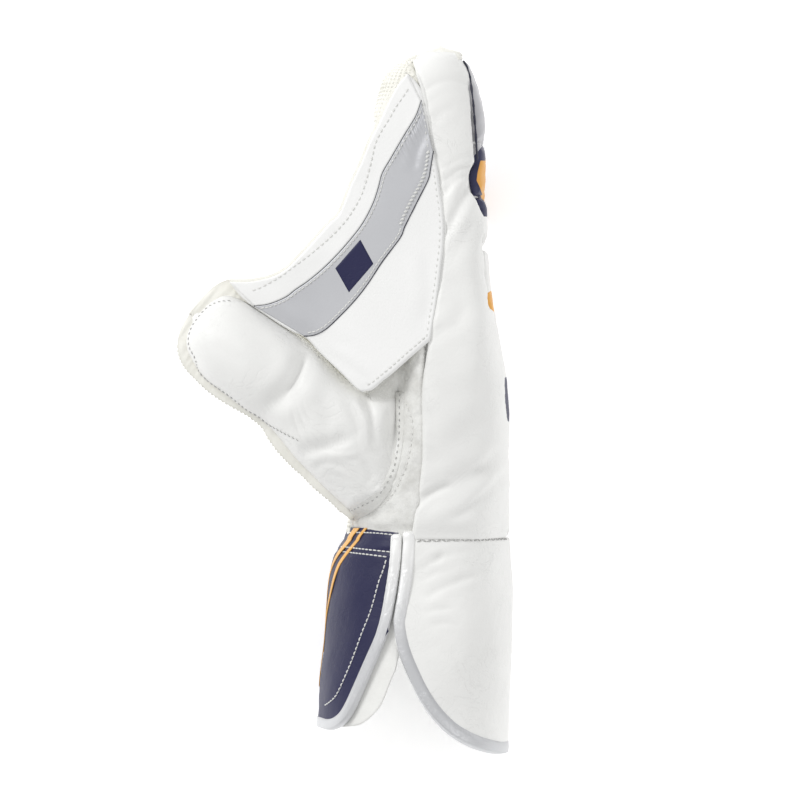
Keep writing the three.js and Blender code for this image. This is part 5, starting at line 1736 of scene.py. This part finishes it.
def build_piping():
    """The white roll beside the web and the dark one along the back of the index finger."""
    bead = spline(PANEL_PALM_EDGE[9:], 1.0)
    share = np.clip(side_share(bead[:, 0] + 0.6, bead[:, 1]), -0.97, 0.9)
    edge = side_surface(bead[:, 1], share)
    edge[:, 2] += 2.3
    for k in range(3):
        edge[:, k] = soft(edge[:, k], 6)
    count = np.arange(len(edge))
    radii = SIDE_PIPING * np.clip(np.minimum(count, count[::-1]) / 8 + 0.35, 0, 1)
    tube("side_piping", edge, SIDE_PIPING, WHITE, "white_leather", sides=10, radii=radii)
    piping = on_all.at(PIPING_LINE)[0]
    path = spline(piping - np.array([-0.6, 0, 0.8]), 1.0)
    tube("finger_piping", path, FINGER_PIPING, INK, "navy_leather", sides=8,
         radii=FINGER_PIPING + 0.16 * ripple(path, 3.5, 71))


build_piping()

# What each piece stands for

REPLACES = {
    "hand_leather": ["hand_shell"], "side_panel_leather": ["side_panel"], "back_leather": ["back_panel"],
    "palm_rubber": ["palm_facing"], "thumb_leather": ["thumb_back"], "thumb_rubber": ["thumb_facing"],
    "gusset_suede": ["thumb_gusset"], "web_leather": ["web_plate"], "web_fold": ["web_rim_band"],
    "web_grey_band": ["web_stripe"], "back_cuff_leather": ["back_cuff"],
    "back_cuff_edge": ["back_cuff_binding"],
    "palm_cuff_leather": ["palm_cuff"], "palm_cuff_edge": ["palm_cuff_binding"],
    "palm_cuff_padding": ["palm_cuff_lining"]}
for finger in LENGTHS:
    REPLACES[f"{finger}_leather"] = [f"{finger}_stall"]
    for roll, _, _ in ROLLS:
        REPLACES[f"{finger}_{roll}_pad"] = [f"{finger}_{roll}_roll"]
for name, nodes in REPLACES.items():
    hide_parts(*nodes)

kept = frame["nodes"]["knuckle_wall"]
kept.data.materials.clear()
kept.data.materials.append(WHITE)


# Floor, light, camera

FLOOR_HALF = 3
FLOOR_DROP = 0.0004
floor_mesh = bpy.data.meshes.new("floor")
corners = [(x * FLOOR_HALF, y * FLOOR_HALF, -FLOOR_DROP) for x, y in ((-1, -1), (1, -1), (1, 1), (-1, 1))]
floor_mesh.from_pydata(corners, [], [(0, 1, 2, 3)])
floor = bpy.data.objects.new("floor", floor_mesh)
bpy.context.scene.collection.objects.link(floor)
pale = bpy.data.materials.new("glowing_pale_floor")
pale.use_nodes = True
tree = pale.node_tree
mottle = node(tree, "ShaderNodeTexNoise", in_Scale=6.0)
tone = node(tree, "ShaderNodeMapRange", [(0, mottle.outputs["Fac"])], in_3=0.93, in_4=0.95)
tree.links.new(tone.outputs[0], tree.nodes["Principled BSDF"].inputs["Base Color"])
tree.nodes["Principled BSDF"].inputs["Roughness"].default_value = 0.95
# Painted light: the floor glows, so it stays white where the glove's shadow falls and casts some light back
# on the glove.
tree.nodes["Principled BSDF"].inputs["Emission Color"].default_value = (1, 1, 1, 1)
tree.nodes["Principled BSDF"].inputs["Emission Strength"].default_value = 0.4
floor_mesh.materials.append(pale)


KEY_POWER = 30
FILL_POWER = 11
SKY_STRENGTH = 0.61
LIGHT_AIM = (0.03, 0.0, 0.06)


def area_light(name, place, size, power, aim=LIGHT_AIM):
    """A round lamp that points at aim."""
    lamp = bpy.data.lights.new(name, "AREA")
    lamp.shape, lamp.size, lamp.energy = "DISK", size, power
    lit = bpy.data.objects.new(name, lamp)
    lit.location = place
    lit.rotation_euler = (Vector(aim) - Vector(place)).to_track_quat("-Z", "Y").to_euler()
    bpy.context.scene.collection.objects.link(lit)


area_light("key", (-1.5, 1.3, 1.6), 1.0, KEY_POWER)
area_light("fill", (1.5, -0.9, 1.7), 1.8, FILL_POWER)
world = bpy.data.worlds.new("studio")
world.use_nodes = True
world.node_tree.nodes["Background"].inputs["Color"].default_value = (1, 1, 1, 1)
world.node_tree.nodes["Background"].inputs["Strength"].default_value = SKY_STRENGTH
bpy.context.scene.world = world
bpy.context.scene.view_settings.view_transform = "Standard"

PICTURE = 800
CAMERA_HEIGHT = 8.0
SCALE_HEIGHT = 0.108
SENSOR = 36.0
centre = (np.array([*side_view((PICTURE / 2, PICTURE / 2)), 0]) + ORIGIN) * 0.001
lens = bpy.data.cameras.new("camera")
lens.sensor_width = SENSOR
# at SCALE_HEIGHT above the floor one square of the side view fills one pixel
lens.lens = SENSOR * (CAMERA_HEIGHT - SCALE_HEIGHT) / (PICTURE * SQUARE * 0.001)
lens.clip_end = 20.0
camera = bpy.data.objects.new("camera", lens)
camera.location = (centre[0], centre[1], CAMERA_HEIGHT)
camera.rotation_euler = (0, 0, 0)
bpy.context.scene.collection.objects.link(camera)
bpy.context.scene.camera = camera
